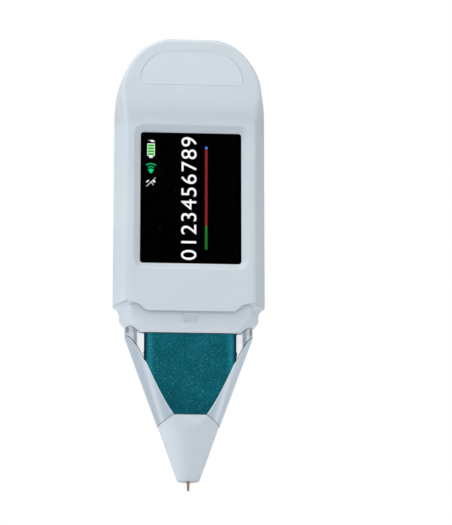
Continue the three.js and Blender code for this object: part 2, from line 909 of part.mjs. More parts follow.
function collar() {
  const outer = collarOuter(0);
  const spigotFoot = collarHead - glueGap;
  const spigotHead = collarHead + spigotHeight;
  const spigotInner = fitGap + spigotWall;
  const spigot = cut(
    loft([spigotSide(fitGap, spigotFoot), spigotSide(fitGap, spigotHead)]),
    loft([spigotSide(spigotInner, spigotFoot - overrun), spigotSide(spigotInner, spigotHead + overrun)]),
  );
  const collarWall = collarDepth / 2 - tenonDepth / 2 - fitGap;
  const bowlSide = (z) => collarSide(
    collarWidth / 2 - collarWall, collarFlatWidth / 2 - collarWall, collarDepth / 2 - collarWall, z,
  );
  const bowl = loft([bowlSide(floorHead), bowlSide(spigotHead + overrun)]);
  const holes = [-1, 1].map((way) => (
    uprightBar(pilotRadius, way * neckScrewSpread, 0, neckHead, floorHead + overrun)
  ));
  const notch = centredSlab(
    notchWidth, -collarDepth, boardFace - glueGap + fitGap, notchFoot, notchHead,
  );
  const pipeWell = centredSlab(
    pipeColumnWidth + 2 * fitGap, boardFace - glueGap - pipeColumnDepth - fitGap,
    boardFace - glueGap + fitGap, notchFoot, floorHead + overrun,
  );
  return cut(
    joined(cut(outer, bowl), spigot),
    tenonBlock(fitGap, neckHead - overrun, floorFoot),
    uprightBar(wireRadius, 0, 0, neckHead, floorHead + overrun, roundSegments)
      .translate([0, tenonDepth / 2 - wireRadius, 0]),
    ...holes,
    notch,
    pipeWell,
  );
}

function coneRadiusAt(z, depth) {
  return noseEndRadius + coneSlope * (z - noseFoot) - depth / coneCosine;
}

// The sharpening cone about the probe's axis, at a depth under its surface
function sharpeningCone(depth, foot, head) {
  return frustum(coneRadiusAt(foot, depth), coneRadiusAt(head, depth), foot, head, coneSegments);
}

// The neck's upright bar: flat front and back, round columns at the sides
function neckBar(depth, foot, head) {
  const halfDepth = neckHalfDepth - depth;
  const reach = neckHalf - neckFlatHalf - depth;
  const side = [];
  for (let i = -columnSteps; i <= columnSteps; i += 1) {
    const turn = (i / columnSteps) * (Math.PI / 2);
    side.push([neckFlatHalf + reach * Math.cos(turn), halfDepth * Math.sin(turn)]);
  }
  return loft([foot, head].map((z) => side.map(([x, y]) => [x, y, z])));
}

// Everything above the roof-shaped seam between the neck and the nose
function aboveSeam(rise) {
  const ridge = noseHead + rise;
  const fall = noseSeamDrop / noseSeamRun;
  const reach = neckWidth;
  const half = noseSeamWidth / 2;
  const shape = new THREE.Shape();
  shape.moveTo(-half, ridge);
  shape.lineTo(half, ridge);
  shape.lineTo(reach, ridge - fall * (reach - half));
  shape.lineTo(reach, coverFoot);
  shape.lineTo(-reach, coverFoot);
  shape.lineTo(-reach, ridge - fall * (reach - half));
  return plate(shape, -neckDepth, neckDepth);
}

const barFoot = noseFoot + noseLand;
const barHead = floorFoot + collarFloor;
const tenonHead = floorFoot - partingGap;
const hollowHead = neckHead - tenonRoot;
const panelEdge = railLip + seamGap;
const panelFloor = skin + glueGap;
const hollowDepth = railThickness + seamGap + shellWall;

function neckShell() {
  const envelope = cut(
    common(
      neckBar(0, barFoot, barHead),
      sharpeningCone(panelEdge, barFoot, barHead),
      aboveSeam(seamGap / 2),
    ),
    collarOuter(fitGap),
  );
  const railBed = cut(
    neckBar(skin, barFoot, barHead + overrun),
    sharpeningCone(railThickness + seamGap, barFoot, barHead + overrun),
  );
  const pockets = [-1, 1].map((way) => slab(
    -neckFlatHalf - glueGap, neckFlatHalf + glueGap,
    Math.min(way * (neckHalfDepth - panelFloor), way * neckDepth),
    Math.max(way * (neckHalfDepth - panelFloor), way * neckDepth),
    barFoot, barHead,
  ));
  const hollow = common(
    neckBar(skin + shellWall, barFoot, hollowHead),
    sharpeningCone(hollowDepth, barFoot, hollowHead),
  );
  const opening = centredSlab(
    tenonOpening, tenonWall - tenonDepth / 2, tenonDepth / 2 - tenonWall,
    hollowHead - overrun, tenonHead + overrun,
  );
  const pilots = [-1, 1].map((way) => uprightBar(
    pilotRadius, way * neckScrewSpread, 0, tenonHead - neckScrewLength + collarFloor, tenonHead + overrun,
  ));
  const body = joined(cut(envelope, railBed, ...pockets), tenonBlock(0, hollowHead, tenonHead));
  return cut(body, hollow, opening, ...pilots);
}

const panelFace = neckHalfDepth + panelProud;

// An upright bar through both grip panels, with their rolled edges
function panelBar(grow, foot, head) {
  const half = neckFlatHalf - glueGap + grow;
  const edge = [];
  for (let i = 0; i <= cornerSteps; i += 1) {
    const turn = (i / cornerSteps) * (Math.PI / 2);
    const y = panelFace - panelRoll + (panelRoll + grow) * Math.sin(turn);
    edge.push([half - panelRound * (1 - Math.cos(turn)), y]);
  }
  const side = [...edge.map(([x, y]) => [x, -y]).reverse(), ...edge];
  return loft([foot, head].map((z) => side.map(([x, y]) => [x, y, z])));
}

// A rail on the cut of the cone: a lip out to the neck's faces and a body let into the shell
function sideRail(way) {
  const whole = common(
    joined(neckBar(0, barFoot, barHead), panelBar(railProud, barFoot, barHead)),
    sharpeningCone(0, barFoot, barHead),
    aboveSeam(seamGap / 2),
  );
  const underLip = cut(
    sharpeningCone(railLip, barFoot, barHead + overrun),
    neckBar(skin + seamGap, barFoot - overrun, barHead + 2 * overrun),
  );
  const half = slab(
    Math.min(0, way * bodyWidth), Math.max(0, way * bodyWidth), -neckDepth, neckDepth, noseFoot, coverFoot,
  );
  return common(
    cut(whole, sharpeningCone(railThickness, barFoot - overrun, barHead + overrun), underLip),
    half,
  );
}

// A panel with rolled upright edges, cut to a point by the cone
function gripPanel(way) {
  const back = neckHalfDepth - skin;
  const side = slab(
    -neckWidth, neckWidth, Math.min(way * back, way * neckDepth), Math.max(way * back, way * neckDepth),
    barFoot, barHead,
  );
  return common(
    panelBar(0, barFoot, neckHead - seamGap),
    sharpeningCone(panelEdge, barFoot, neckHead),
    aboveSeam(seamGap / 2),
    side,
  );
}

// The nose: the cone's end with flats that run out, a stepped bore and a spigot into the neck
function noseCone() {
  const seam = aboveSeam(-seamGap / 2);
  const spigotHead = noseHead + noseSpigot;
  const endRadius = coneRadiusAt(noseFoot, 0);
  const coneHead = noseHead + overrun;
  const headRadius = coneRadiusAt(coneHead, noseStep);
  const outer = turned([
    [0, noseFoot], [endRadius - noseRound, noseFoot],
    [endRadius - noseRound * roundShare, noseFoot + noseRound * roundShare],
    [coneRadiusAt(noseFoot + noseRound, 0), noseFoot + noseRound],
    [coneRadiusAt(barFoot, noseStep / 2), barFoot],
    [headRadius, coneHead], [0, coneHead],
  ], coneSegments);
  const flats = centredSlab(
    neckWidth, noseFlatStep - panelFace, panelFace - noseFlatStep, 0, coverFoot,
  );
  const spigotDepth = hollowDepth + fitGap;
  const spigotFlats = skin + shellWall + fitGap;
  const spigot = common(
    sharpeningCone(spigotDepth, guideSeat + noseFoot, spigotHead),
    neckBar(spigotFlats, guideSeat + noseFoot, spigotHead),
  );
  const seat = noseFoot + guideSeat;
  const bore = turned([
    [0, noseFoot - overrun], [pinHoleRadius, noseFoot - overrun], [pinHoleRadius, noseFoot + noseLand],
    [guideRadius + fitGap, noseFoot + noseLand], [guideRadius + fitGap, seat],
    [guideFlangeRadius + fitGap, seat],
    [guideFlangeRadius + fitGap, seat + guideFlange],
    [coneRadiusAt(noseHead, spigotDepth + noseSpigotWall), noseHead],
    [coneRadiusAt(noseHead, spigotDepth + noseSpigotWall), spigotHead + overrun],
    [0, spigotHead + overrun],
  ], roundSegments);
  return cut(joined(cut(common(outer, flats), seam), spigot), bore);
}

const guideFoot = noseFoot + noseLand;
const guideHead = noseFoot + guideSeat + guideFlange;

function probeGuide() {
  const bore = pinShankRadius + slideGap;
  const seat = noseFoot + guideSeat;
  return turned([
    [bore, guideFoot + glueGap], [guideRadius, guideFoot + glueGap], [guideRadius, seat + glueGap],
    [guideFlangeRadius, seat + glueGap], [guideFlangeRadius, guideHead], [bore, guideHead],
    [bore, guideFoot + glueGap],
  ], smallSegments);
}

const heaterFoot = guideHead + partingGap;
const heaterHead = heaterFoot + heaterHeight;

function probePin() {
  const shankFoot = noseFoot + pinShankFoot;
  const shankHead = heaterFoot + pinGrip;
  return turned([
    [0, 0], [pinTipRadius, 0], [pinRadius, pinReach], [pinRadius, shankFoot - pinRadius],
    [pinShankRadius, shankFoot], [pinShankRadius, shankHead], [0, shankHead],
  ], smallSegments);
}

function heaterBlock() {
  const bore = pinShankRadius + glueGap;
  const boreHead = heaterFoot + pinGrip + glueGap;
  const groove = heaterRadius - heaterGroove;
  return turned([
    [bore, heaterFoot], [heaterRadius, heaterFoot], [heaterRadius, heaterFoot + heaterHeight / 2],
    [groove, heaterFoot + heaterHeight / 2], [groove, heaterHead - springWire],
    [heaterRadius, heaterHead - springWire], [heaterRadius, heaterHead],
    [0, heaterHead], [0, boreHead], [bore, boreHead], [bore, heaterFoot],
  ], smallSegments);
}

function heaterElement() {
  const foot = heaterHead + glueGap;
  return uprightBar(elementRadius, 0, 0, foot, foot + elementHeight);
}

const seatHead = hollowHead - glueGap;
const seatFoot = seatHead - seatThickness;
const springFoot = heaterHead + partingGap;
const springHead = seatFoot - partingGap;

class Helix extends THREE.Curve {
  getPoint(share) {
    const turn = 2 * Math.PI * springTurns * share;
    const rise = springHead - springFoot - springWire;
    const z = springFoot + springWire / 2 + rise * share;
    return new THREE.Vector3(springRadius * Math.cos(turn), springRadius * Math.sin(turn), z);
  }
}

function returnSpring() {
  const section = new THREE.Shape();
  for (let i = 0; i < springSides; i += 1) {
    const turn = (2 * Math.PI * i) / springSides;
    const x = (springWire / 2) * Math.cos(turn);
    const y = (springWire / 2) * Math.sin(turn);
    if (i === 0) section.moveTo(x, y);
    else section.lineTo(x, y);
  }
  section.closePath();
  return solid(new THREE.ExtrudeGeometry(section, {
    steps: springTurns * springStepsPerTurn, extrudePath: new Helix(), bevelEnabled: false,
  }));
}

// A plate across the neck that takes the spring's thrust under the tenon
function springSeat() {
  const blank = common(
    neckBar(skin + shellWall + fitGap, seatFoot - overrun, seatHead + overrun),
    sharpeningCone(hollowDepth + fitGap, seatFoot - overrun, seatHead + overrun),
    centredSlab(neckWidth, -neckDepth, neckDepth, seatFoot, seatHead),
  );
  const wireOffset = springRadius + springWire + seatRim + seatWireRadius;
  const wire = uprightBar(seatWireRadius, wireOffset, 0, seatFoot - overrun, seatHead + overrun);
  const hub = uprightBar(springRadius - springWire - fitGap, 0, 0, seatFoot - seatRim, seatHead);
  return cut(joined(blank, hub), wire);
}

// A cross-slotted screw whose head sits on Y = 0 and whose shank runs to -Y
function screw(length) {
  const head = crossBar(screwHeadRadius, 0, 0, 0, screwHeadHeight);
  const shank = crossBar(screwShankRadius, 0, 0, -length, screwHeadHeight / 2);
  const slotFront = screwHeadHeight / 2;
  const slot = (width, height) => (
    slab(-width / 2, width / 2, slotFront, screwHeadHeight + overrun, -height / 2, height / 2)
  );
  return cut(
    joined(head, shank),
    slot(screwSlotLength, screwSlot),
    slot(screwSlot, screwSlotLength),
  );
}

// The button, with a face that follows the slanted side and a flange that keeps it in
function powerButton() {
  const front = buttonBack - buttonHeight / 2;
  const back = buttonBack + buttonHeight / 2;
  const flangeRight = rearSideAt(back + buttonFlange) - wall - partingGap;
  const flangeLeft = flangeRight - buttonFlangeThickness;
  const corner = buttonProud;
  const outline = new THREE.Shape();
  outline.moveTo(flangeLeft, front);
  outline.lineTo(rearSideAt(front) + buttonProud - corner / 2, front);
  outline.lineTo(rearSideAt(front + corner) + buttonProud, front + corner);
  outline.lineTo(rearSideAt(back - corner) + buttonProud, back - corner);
  outline.lineTo(rearSideAt(back) + buttonProud - corner, back);
  outline.lineTo(flangeLeft, back);
  const form = new THREE.ExtrudeGeometry(outline, { depth: buttonLength, bevelEnabled: false, steps: 1 });
  form.translate(0, 0, buttonMiddle - buttonLength / 2);
  const flange = slab(
    flangeLeft, flangeRight, front - buttonFlange, back + buttonFlange,
    buttonMiddle - buttonLength / 2 - buttonFlange, buttonMiddle + buttonLength / 2 + buttonFlange,
  );
  return joined(solid(form), flange);
}

function switchStem() {
  const flangeRight = rearSideAt(buttonBack + buttonHeight / 2 + buttonFlange) - wall - partingGap;
  const right = flangeRight - buttonFlangeThickness - glueGap;
  const left = switchLeft + switchWidth + buttonTravel + glueGap;
  return slab(
    left, right, stemFront, stemBack,
    buttonMiddle - stemLength / 2, buttonMiddle + stemLength / 2,
  );
}

// Finishes, one for each kind of surface
const finishes = {
  whiteShell: { color: 0xe4e9ee, roughness: 0.38, metalness: 0 },
  whiteCollar: { color: 0xe0e5ea, roughness: 0.42, metalness: 0 },
  whiteBadge: { color: 0xeaeef2, roughness: 0.3, metalness: 0 },
  clearLens: { color: 0x08090b, roughness: 0.05, metalness: 0 },
  darkModule: { color: 0x15181c, roughness: 0.3, metalness: 0 },
  chrome: { color: 0xc9ced2, roughness: 0.08, metalness: 1 },
  tealLacquer: { color: 0x0e5c66, roughness: 0.28, metalness: 0.4 },
  silverSatin: { color: 0xc6ced4, roughness: 0.3, metalness: 0.6 },
  whiteNose: { color: 0xdfe5ea, roughness: 0.4, metalness: 0 },
  goldPlate: { color: 0xb98d4a, roughness: 0.25, metalness: 1 },
  blackPlastic: { color: 0x1a1b1d, roughness: 0.5, metalness: 0 },
  boardResin: { color: 0x0f5132, roughness: 0.45, metalness: 0 },
  foilPouch: { color: 0xb4b8bc, roughness: 0.35, metalness: 0.8 },
  nickel: { color: 0xb9bbba, roughness: 0.25, metalness: 1 },
  milkyClear: { color: 0xe6ebee, roughness: 0.3, metalness: 0 },
  springSteel: { color: 0x9a9da0, roughness: 0.3, metalness: 1 },
  brass: { color: 0xb58f45, roughness: 0.35, metalness: 1 },
  creamPlastic: { color: 0xe8e2d2, roughness: 0.5, metalness: 0 },
  silverButton: { color: 0xbcc4ca, roughness: 0.3, metalness: 0.6 },
};

const tester = new THREE.Group();

function show(name, form, finish, place = [0, 0, 0], turn = [0, 0, 0]) {
  const mesh = form.getMesh();
  const geometry = new THREE.BufferGeometry();
  geometry.setAttribute('position', new THREE.Float32BufferAttribute(mesh.vertProperties, mesh.numProp));
  geometry.setIndex(Array.from(mesh.triVerts));
  geometry.computeVertexNormals();
  const item = new THREE.Mesh(geometry, new THREE.MeshStandardMaterial(finishes[finish]));
  item.name = name;
  item.position.set(...place);
  item.rotation.set(...turn);
  tester.add(item);
}

show('front_cover', frontCover(), 'whiteShell');
show('rear_cover', rearCover(), 'whiteShell');
show('badge_panel', badgePanel(), 'whiteBadge');
show('display_window', displayWindow(), 'clearLens');
show('display_panel', displayPanel(), 'darkModule');
show('display_bracket', displayBracket(), 'blackPlastic');
show('main_board', mainBoard(), 'boardResin');
show('battery', battery(), 'foilPouch');
show('usb_socket', usbSocket(), 'nickel');
show('buzzer', buzzer(), 'blackPlastic');
show('controller_chip', controllerChip(), 'blackPlastic');
show('battery_connector', batteryConnector(), 'creamPlastic');
show('power_switch', powerSwitch(), 'blackPlastic');
show('status_led', statusLed(), 'milkyClear');
show('status_light_pipe', statusLightPipe(), 'milkyClear');
show('collar', collar(), 'whiteCollar');
show('neck_shell', neckShell(), 'chrome');
show('grip_panel_front', gripPanel(-1), 'tealLacquer');
show('grip_panel_rear', gripPanel(1), 'tealLacquer');
show('side_rail_left', sideRail(-1), 'silverSatin');
show('side_rail_right', sideRail(1), 'silverSatin');
show('nose_cone', noseCone(), 'whiteNose');
show('probe_guide', probeGuide(), 'creamPlastic');
show('probe_pin', probePin(), 'goldPlate');
show('heater_block', heaterBlock(), 'brass');
show('heater_element', heaterElement(), 'blackPlastic');
show('return_spring', returnSpring(), 'springSteel');
show('spring_seat', springSeat(), 'blackPlastic');
show('power_button', powerButton(), 'silverButton');
show('switch_stem', switchStem(), 'blackPlastic');
coverScrewPlaces.forEach(([x, z], i) => {
  show(`cover_screw_${i + 1}`, screw(screwSeat + screwBite), 'nickel', [x, screwSeat + glueGap, z]);
});
boardScrewPlaces.forEach(([x, z], i) => {
  show(`board_screw_${i + 1}`, screw(boardScrewLength), 'nickel', [x, boardBack + glueGap, z]);
});
['left', 'right'].forEach((name, i) => {
  const place = [(2 * i - 1) * neckScrewSpread, 0, floorHead + glueGap];
  show(`neck_screw_${name}`, screw(neckScrewLength), 'nickel', place, [Math.PI / 2, 0, 0]);
});

export default tester;
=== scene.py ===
import math

import bpy
from bpy.props import FloatProperty, FloatVectorProperty, PointerProperty
from mathutils import Euler, Matrix, Vector


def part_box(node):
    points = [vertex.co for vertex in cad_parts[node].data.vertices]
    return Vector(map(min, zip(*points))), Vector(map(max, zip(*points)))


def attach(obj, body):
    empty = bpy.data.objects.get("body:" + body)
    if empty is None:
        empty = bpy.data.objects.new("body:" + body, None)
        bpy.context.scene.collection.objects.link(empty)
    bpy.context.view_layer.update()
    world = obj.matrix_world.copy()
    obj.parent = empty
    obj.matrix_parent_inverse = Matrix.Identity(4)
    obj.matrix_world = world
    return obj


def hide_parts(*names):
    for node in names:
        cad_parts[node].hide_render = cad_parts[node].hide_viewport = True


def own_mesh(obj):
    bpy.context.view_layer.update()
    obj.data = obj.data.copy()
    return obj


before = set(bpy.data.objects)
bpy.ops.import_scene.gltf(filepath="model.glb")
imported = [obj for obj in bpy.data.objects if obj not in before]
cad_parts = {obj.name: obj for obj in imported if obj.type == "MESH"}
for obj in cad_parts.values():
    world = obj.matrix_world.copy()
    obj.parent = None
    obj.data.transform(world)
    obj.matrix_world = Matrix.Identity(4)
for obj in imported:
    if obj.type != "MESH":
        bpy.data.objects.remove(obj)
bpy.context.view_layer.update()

bl_info = {
    "name": "Diamond tester dressing",
    "version": (1, 0, 0),
    "blender": (4, 5, 0),
    "location": "View3D > Sidebar > Tester",
    "description": "Dresses the packed solids of a hand-held diamond tester and sets the studio round it",
    "category": "Object",
}

MM = 0.001
ROUND_SIDES = 160
RIGHT_ANGLE = math.pi / 2


def node_box(name):
    """Lowest and highest corner of a CAD node, in millimetres."""
    low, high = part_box(name)
    return low / MM, high / MM


# Sizes in millimetres, some of them read from the frame

lens_low, lens_high = node_box("display_window")
grip_low, grip_high = node_box("grip_panel_front")
collar_low = node_box("collar")[0]

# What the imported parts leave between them, and the hair line that shows where two of them meet
SEAM = 0.25
HAIR = 0.04

# Covers: the recess round the lens, the line of the foot, and the ridges beside the screen, whose points are
# drawn in towards their photographed line
SCREEN_FACE = -10.8
RECESS_REACH = (1.2, 1.7, 1.5)
RECESS_EDGE = 0.22
COVER_FOOT = node_box("front_cover")[0].z + 3.1
COVER_FOOT_BACK = -1.6
RIDGE_X = 20.07
RIDGE_SHARE = 0.45
RIDGE_INNER = 18.6
RIDGE_BACK = -9.45
RIDGE_HEAD = 114.2
BADGE_GROWTH = 0.185
BADGE_EDGE = 0.06
BUTTON_EDGE = 0.25

# Collar, and the notch of its light pipe
BAND_HEAD = collar_low.z + 7.15
COLLAR_CORNER = 1.1
COLLAR_CORNER_X = 15
COLLAR_CORNER_HEAD = collar_low.z + 8.8
FLARE_HEAD = collar_low.z + 9.4
FLARE_LIFT = 0.28
NOTCH_SIZE = (4.3, 2.1)
NOTCH_ROUND = 0.45

# Neck: a bar with round columns and flat faces, which carries the panels and the rails
SKIN = 1.0
SHELL_WALL = 1.25
PANEL_FACE = -grip_low.y
PANEL_HALF = -grip_low.x
PANEL_ROUND = 1.4
PANEL_ROLL = 0.75
PANEL_EDGE = 0.27
PANEL_TRIM = 0.15
POCKET_GAP = 0.1
RAIL_PROUD = 0.15
RAIL_LIP = 0.13
RAIL_THICKNESS = 1.3
RAIL_TRIM = 0.1
NECK_HEAD = grip_high.z + SEAM
NECK_FACE = PANEL_FACE - 0.45
NECK_FLAT = PANEL_HALF + 0.1
NECK_HALF = 20.0
TENON_FOOT, TENON_HEAD = NECK_HEAD - 2.1, NECK_HEAD + 2.8
TENON_HALVES = (14.6, 7.4)
TENON_ROUND = 2.0
TENON_BORE_HALVES = (8.3, 5.8)
SCREW_HOLE = 1.2
SCREW_X = 11

# Nose, and the cone that cuts it and the neck to a point
NOSE_FOOT = node_box("nose_cone")[0].z
NOSE_HEAD = NOSE_FOOT + 19.6
NOSE_END_RADIUS = 3.39
NOSE_STEP = 0.25
NOSE_FACE = PANEL_FACE - 0.1
NOSE_RIM = 0.45
NOSE_TRIM = 0.12
NOSE_RINGS = (6, 9.5, 12.5, 14.5, 16, 17, 18, 19, 20)
RUN_OUT_RADIUS = 14
RUN_OUT_RISE = 2.5
NOSE_SEAT = NOSE_FOOT + 10.4
SPIGOT_GAP = 0.25
ROOF_HALF = 5.2
ROOF_FALL = 0.6
BAR_FOOT = NOSE_FOOT + 2.4
BAR_HEAD = NECK_HEAD + 5.6
CONE_SLOPE = (NECK_HALF - NOSE_END_RADIUS) / (NECK_HEAD - NOSE_FOOT)
CONE_COSINE = 1 / math.hypot(1, CONE_SLOPE)

# Return spring
SPRING_WIRE = 0.7
SPRING_TURNS = 9

# Marks on the display
MARK_BACK = node_box("display_panel")[0].y - 0.01
MARK_THICKNESS = 0.03
DIGITS_FOOT, DIGITS_HEAD = 71.22, 110.83
DIGITS_LEFT, DIGITS_RIGHT = -2.94, 1.83

# Camera: its place, its turn in degrees about X, Y and Z, and its lens, as they follow from the photograph
CAMERA_PLACE = (-49.168, -753.012, -100.324)
CAMERA_TURN = (102.8745, 0.0159, -4.6186)
CAMERA_LENS = 196.25

# Floor and reflection card: tones by the angle in degrees round the tester, counted from its front
FLOOR_RADIUS = 1600
FLOOR_FADE = (150, 650)
FLOOR_BANDS = ((60, "#c6cdd3"), (96, "#c6cdd3"), (105, "#ffffff"), (112, "#ffffff"), (121, "#c6cdd3"),
               (160, "#c6cdd3"))
CARD_RADIUS = 620
CARD_OPENING = 52
CARD_FOOT = "#d9e0e5"
CARD_FOOT_REACH = (80, 120)
CARD_BANDS = ((56, "#ffffff"), (64, "#9da6b0"), (76, "#9da6b0"), (98, "#b0b9c0"), (106, "#cad2d8"),
              (122, "#ccd4da"), (130, "#8a949d"), (150, "#8f989f"), (162, "#c4cad0"), (175, "#e8ebee"))


def cone_radius(z, depth=0.0):
    """The sharpening cone's radius at a height, at a depth under its surface."""
    return NOSE_END_RADIUS + CONE_SLOPE * (z - NOSE_FOOT) - depth / CONE_COSINE


# Materials

def linear(colour):
    """A colour as Blender's linear RGBA, from an sRGB hex or from a property that is linear already."""
    if not isinstance(colour, str):
        return [*colour, 1.0]
    channels = [int(colour[i:i + 2], 16) / 255 for i in (1, 3, 5)]
    return [c / 12.92 if c <= 0.04045 else ((c + 0.055) / 1.055) ** 2.4 for c in channels] + [1.0]


def add_node(tree, kind, settings=None, **inputs):
    """Adds a node with its settings. An input is a value, or the output that it is linked to."""
    made = tree.nodes.new(kind)
    for key, value in (settings or {}).items():
        setattr(made, key, value)
    for key, value in inputs.items():
        socket = made.inputs[int(key[1:]) if key[0] == "_" else key.replace("_", " ")]
        if isinstance(value, bpy.types.NodeSocket):
            tree.links.new(value, socket)
        else:
            socket.default_value = value
    return made


def new_material(name):
    """An empty node material with its output, and object coordinates in millimetres."""
    material = bpy.data.materials.new(name)
    material.use_nodes = True
    tree = material.node_tree
    tree.nodes.clear()
    place = add_node(tree, "ShaderNodeTexCoord")
    scaled = add_node(tree, "ShaderNodeVectorMath", {"operation": "SCALE"},
                      Vector=place.outputs["Object"], Scale=1 / MM)
    return material, tree, scaled.outputs["Vector"]


def close_material(tree, shader):
    add_node(tree, "ShaderNodeOutputMaterial", Surface=shader.outputs[0])


def two_tones(tree, factor, low, high, start=0.35, end=0.65):
    """A colour between two tones, by a factor from 0 to 1."""
    ramp = add_node(tree, "ShaderNodeValToRGB", Fac=factor)
    ramp.color_ramp.elements[0].position = start
    ramp.color_ramp.elements[0].color = linear(low)
    ramp.color_ramp.elements[1].position = end
    ramp.color_ramp.elements[1].color = linear(high)
    return ramp.outputs["Color"]


def ranged(tree, value, reach, result=(0, 1), steps="LINEAR"):
    """A value from the first to the second result, as it goes over its reach."""
    return add_node(tree, "ShaderNodeMapRange", {"interpolation_type": steps}, Value=value, From_Min=reach[0],
                    From_Max=reach[1], To_Min=result[0], To_Max=result[1]).outputs[0]


def calc(tree, operation, *values):
    """The result of a Math node."""
    inputs = {f"_{number}": value for number, value in enumerate(values)}
    return add_node(tree, "ShaderNodeMath", {"operation": operation}, **inputs).outputs[0]


def blended(tree, factor, low, high):
    """A colour between two."""
    return add_node(tree, "ShaderNodeMix", {"data_type": "RGBA"}, _0=factor, _6=low, _7=high).outputs[2]


def layered(tree, factor, under, over):
    """A shader between two."""
    return add_node(tree, "ShaderNodeMixShader", _0=factor, _1=under.outputs[0], _2=over.outputs[0])


def noise(tree, place, grain, detail=2.0, roughness=0.5):
    """The factor of a noise whose grain is that many millimetres wide."""
    made = add_node(tree, "ShaderNodeTexNoise", Vector=place, Scale=1 / grain, Detail=detail,
                    Roughness=roughness)
    return made.outputs["Fac"]


def pixel_rows(tree, place, pitch):
    """The factor of a ripple of rows that are that many millimetres apart. A wave texture has 20 radians to
    a unit."""
    made = add_node(tree, "ShaderNodeTexWave", {"bands_direction": "Z"}, Vector=place,
                    Scale=math.pi / 10 / pitch)
    return made.outputs["Fac"]


def bumped(tree, height, strength, depth):
    """The normal of a bump that is that many millimetres deep."""
    made = add_node(tree, "ShaderNodeBump", Strength=strength, Distance=depth * MM, Height=height)
    return made.outputs["Normal"]


def principled(material, tree, **inputs):
    """Closes a material with one Principled shader."""
    close_material(tree, add_node(tree, "ShaderNodeBsdfPrincipled", **inputs))
    return material


def moulded(name, low, high, roughness, grain=0.35, depth=0.012):
    """Injection-moulded plastic: a fine spark-eroded grain, and a tone that drifts over centimetres."""
    material, tree, place = new_material(name)
    eroded = noise(tree, place, grain, 3.0, 0.6)
    return principled(material, tree, IOR=1.5, Base_Color=two_tones(tree, noise(tree, place, 28), low, high),
                      Roughness=ranged(tree, eroded, (0, 1), (roughness - 0.04, roughness + 0.04)),
                      Normal=bumped(tree, eroded, 0.35, depth))


def metal(name, low, high, roughness, grain=3.0, stretch=(1, 1, 1), depth=0.004):
    """Bare or plated metal. The grain may be drawn out along an axis, as brushing or drawing leaves it."""
    material, tree, place = new_material(name)
    drawn = add_node(tree, "ShaderNodeMapping", Vector=place, Scale=stretch)
    marks = noise(tree, drawn.outputs[0], grain, 4.0)
    return principled(material, tree, Metallic=1.0, Base_Color=two_tones(tree, marks, low, high),
                      Roughness=ranged(tree, marks, (0, 1), (roughness * 0.75, roughness * 1.3)),
                      Normal=bumped(tree, marks, 0.3, depth))


def flake_lacquer(name, deep, bright, pale, edge, flake_glint):
    """Teal metallic lacquer, sprayed on the grip panels: a painted dark reflection along their rolled edges
    with a painted highlight, a paler band, beside it, a cloud that drifts over centimetres, a tone darker
    towards the nose, and flakes. Real flakes are about 0.03 mm; the few painted pale, as glints where they
    catch the light, are drawn up to 0.27 mm so that they show."""
    material, tree, place = new_material(name)
    axes = add_node(tree, "ShaderNodeSeparateXYZ", Vector=place)
    inward = calc(tree, "SUBTRACT", PANEL_HALF, calc(tree, "ABSOLUTE", axes.outputs["X"]))
    # Painted dark reflection: the lacquer turns dark navy over the last 1.45 mm towards each rolled edge
    rolled = ranged(tree, inward, (0.35, 1.45), (1, 0), "SMOOTHSTEP")
    # Painted highlight: a paler teal band just inside the dark edge
    painted_highlight_mask = ranged(tree, inward, (1.6, 3.4), (1, 0), "SMOOTHSTEP")
    grit = noise(tree, place, 0.35)
    drift = calc(tree, "MULTIPLY_ADD", grit, 0.45, noise(tree, place, 9, 3.0))
    rise = ranged(tree, axes.outputs["Z"], (BAR_FOOT, NECK_HEAD), (-0.3, 0.05))
    body = two_tones(tree, calc(tree, "ADD", drift, rise), deep, bright, 0.35, 1.0)
    lacquer_with_painted_light = blended(tree, rolled, blended(tree, painted_highlight_mask, body, linear(pale)), linear(edge))
    # Painted glints: a few flakes are coloured pale, as if they caught the light
    flakes = add_node(tree, "ShaderNodeTexVoronoi", {"feature": "F1"}, Vector=place, Scale=1 / 0.29)
    chance = add_node(tree, "ShaderNodeSeparateColor", Color=flakes.outputs["Color"])
    size = calc(tree, "MULTIPLY_ADD", chance.outputs[0], 0.8, -0.34)
    near = calc(tree, "LESS_THAN", flakes.outputs["Distance"], size)
    lit = calc(tree, "MULTIPLY", near, calc(tree, "MULTIPLY", chance.outputs[1], 0.5))
    return principled(material, tree, Base_Color=blended(tree, lit, lacquer_with_painted_light, linear(flake_glint)), Metallic=0.25,
                      Roughness=0.42, Specular_IOR_Level=0.06, Normal=bumped(tree, grit, 0.2, 0.02))


def lit_mark(name, low, high):
    """A lit part of the display, with its pixel rows as a faint ripple."""
    material, tree, place = new_material(name)
    glow = two_tones(tree, pixel_rows(tree, place, 0.4084), low, high, 0.0, 1.0)
    return principled(material, tree, Base_Color=linear("#000000"), Roughness=0.6, Specular_IOR_Level=0.0,
                      Emission_Color=glow, Emission_Strength=1.0)


def solder_mask(name):
    """Epoxy board under green solder mask: copper tracks, 0.35 mm wide, show through as a lighter green."""
    material, tree, place = new_material(name)
    turned = add_node(tree, "ShaderNodeMapping", Vector=place, Rotation=(RIGHT_ANGLE, 0, 0))
    tracks = add_node(tree, "ShaderNodeTexBrick", {"offset": 0.37, "squash": 1.6, "squash_frequency": 3},
                      Vector=turned.outputs[0], Scale=0.35, Mortar_Size=0.06, Brick_Width=1.4, Row_Height=0.6)
    return principled(material, tree, Roughness=0.35,
                      Base_Color=two_tones(tree, tracks.outputs["Fac"], "#0c4a2a", "#1c7044"))


def display_glass(name):
    """The display's own glass: rows of unlit pixels under a coat that hardly reflects."""
    material, tree, place = new_material(name)
    return principled(material, tree, Roughness=0.3, Specular_IOR_Level=0.0,
                      Base_Color=two_tones(tree, pixel_rows(tree, place, 0.2608), "#000000", "#010102"))


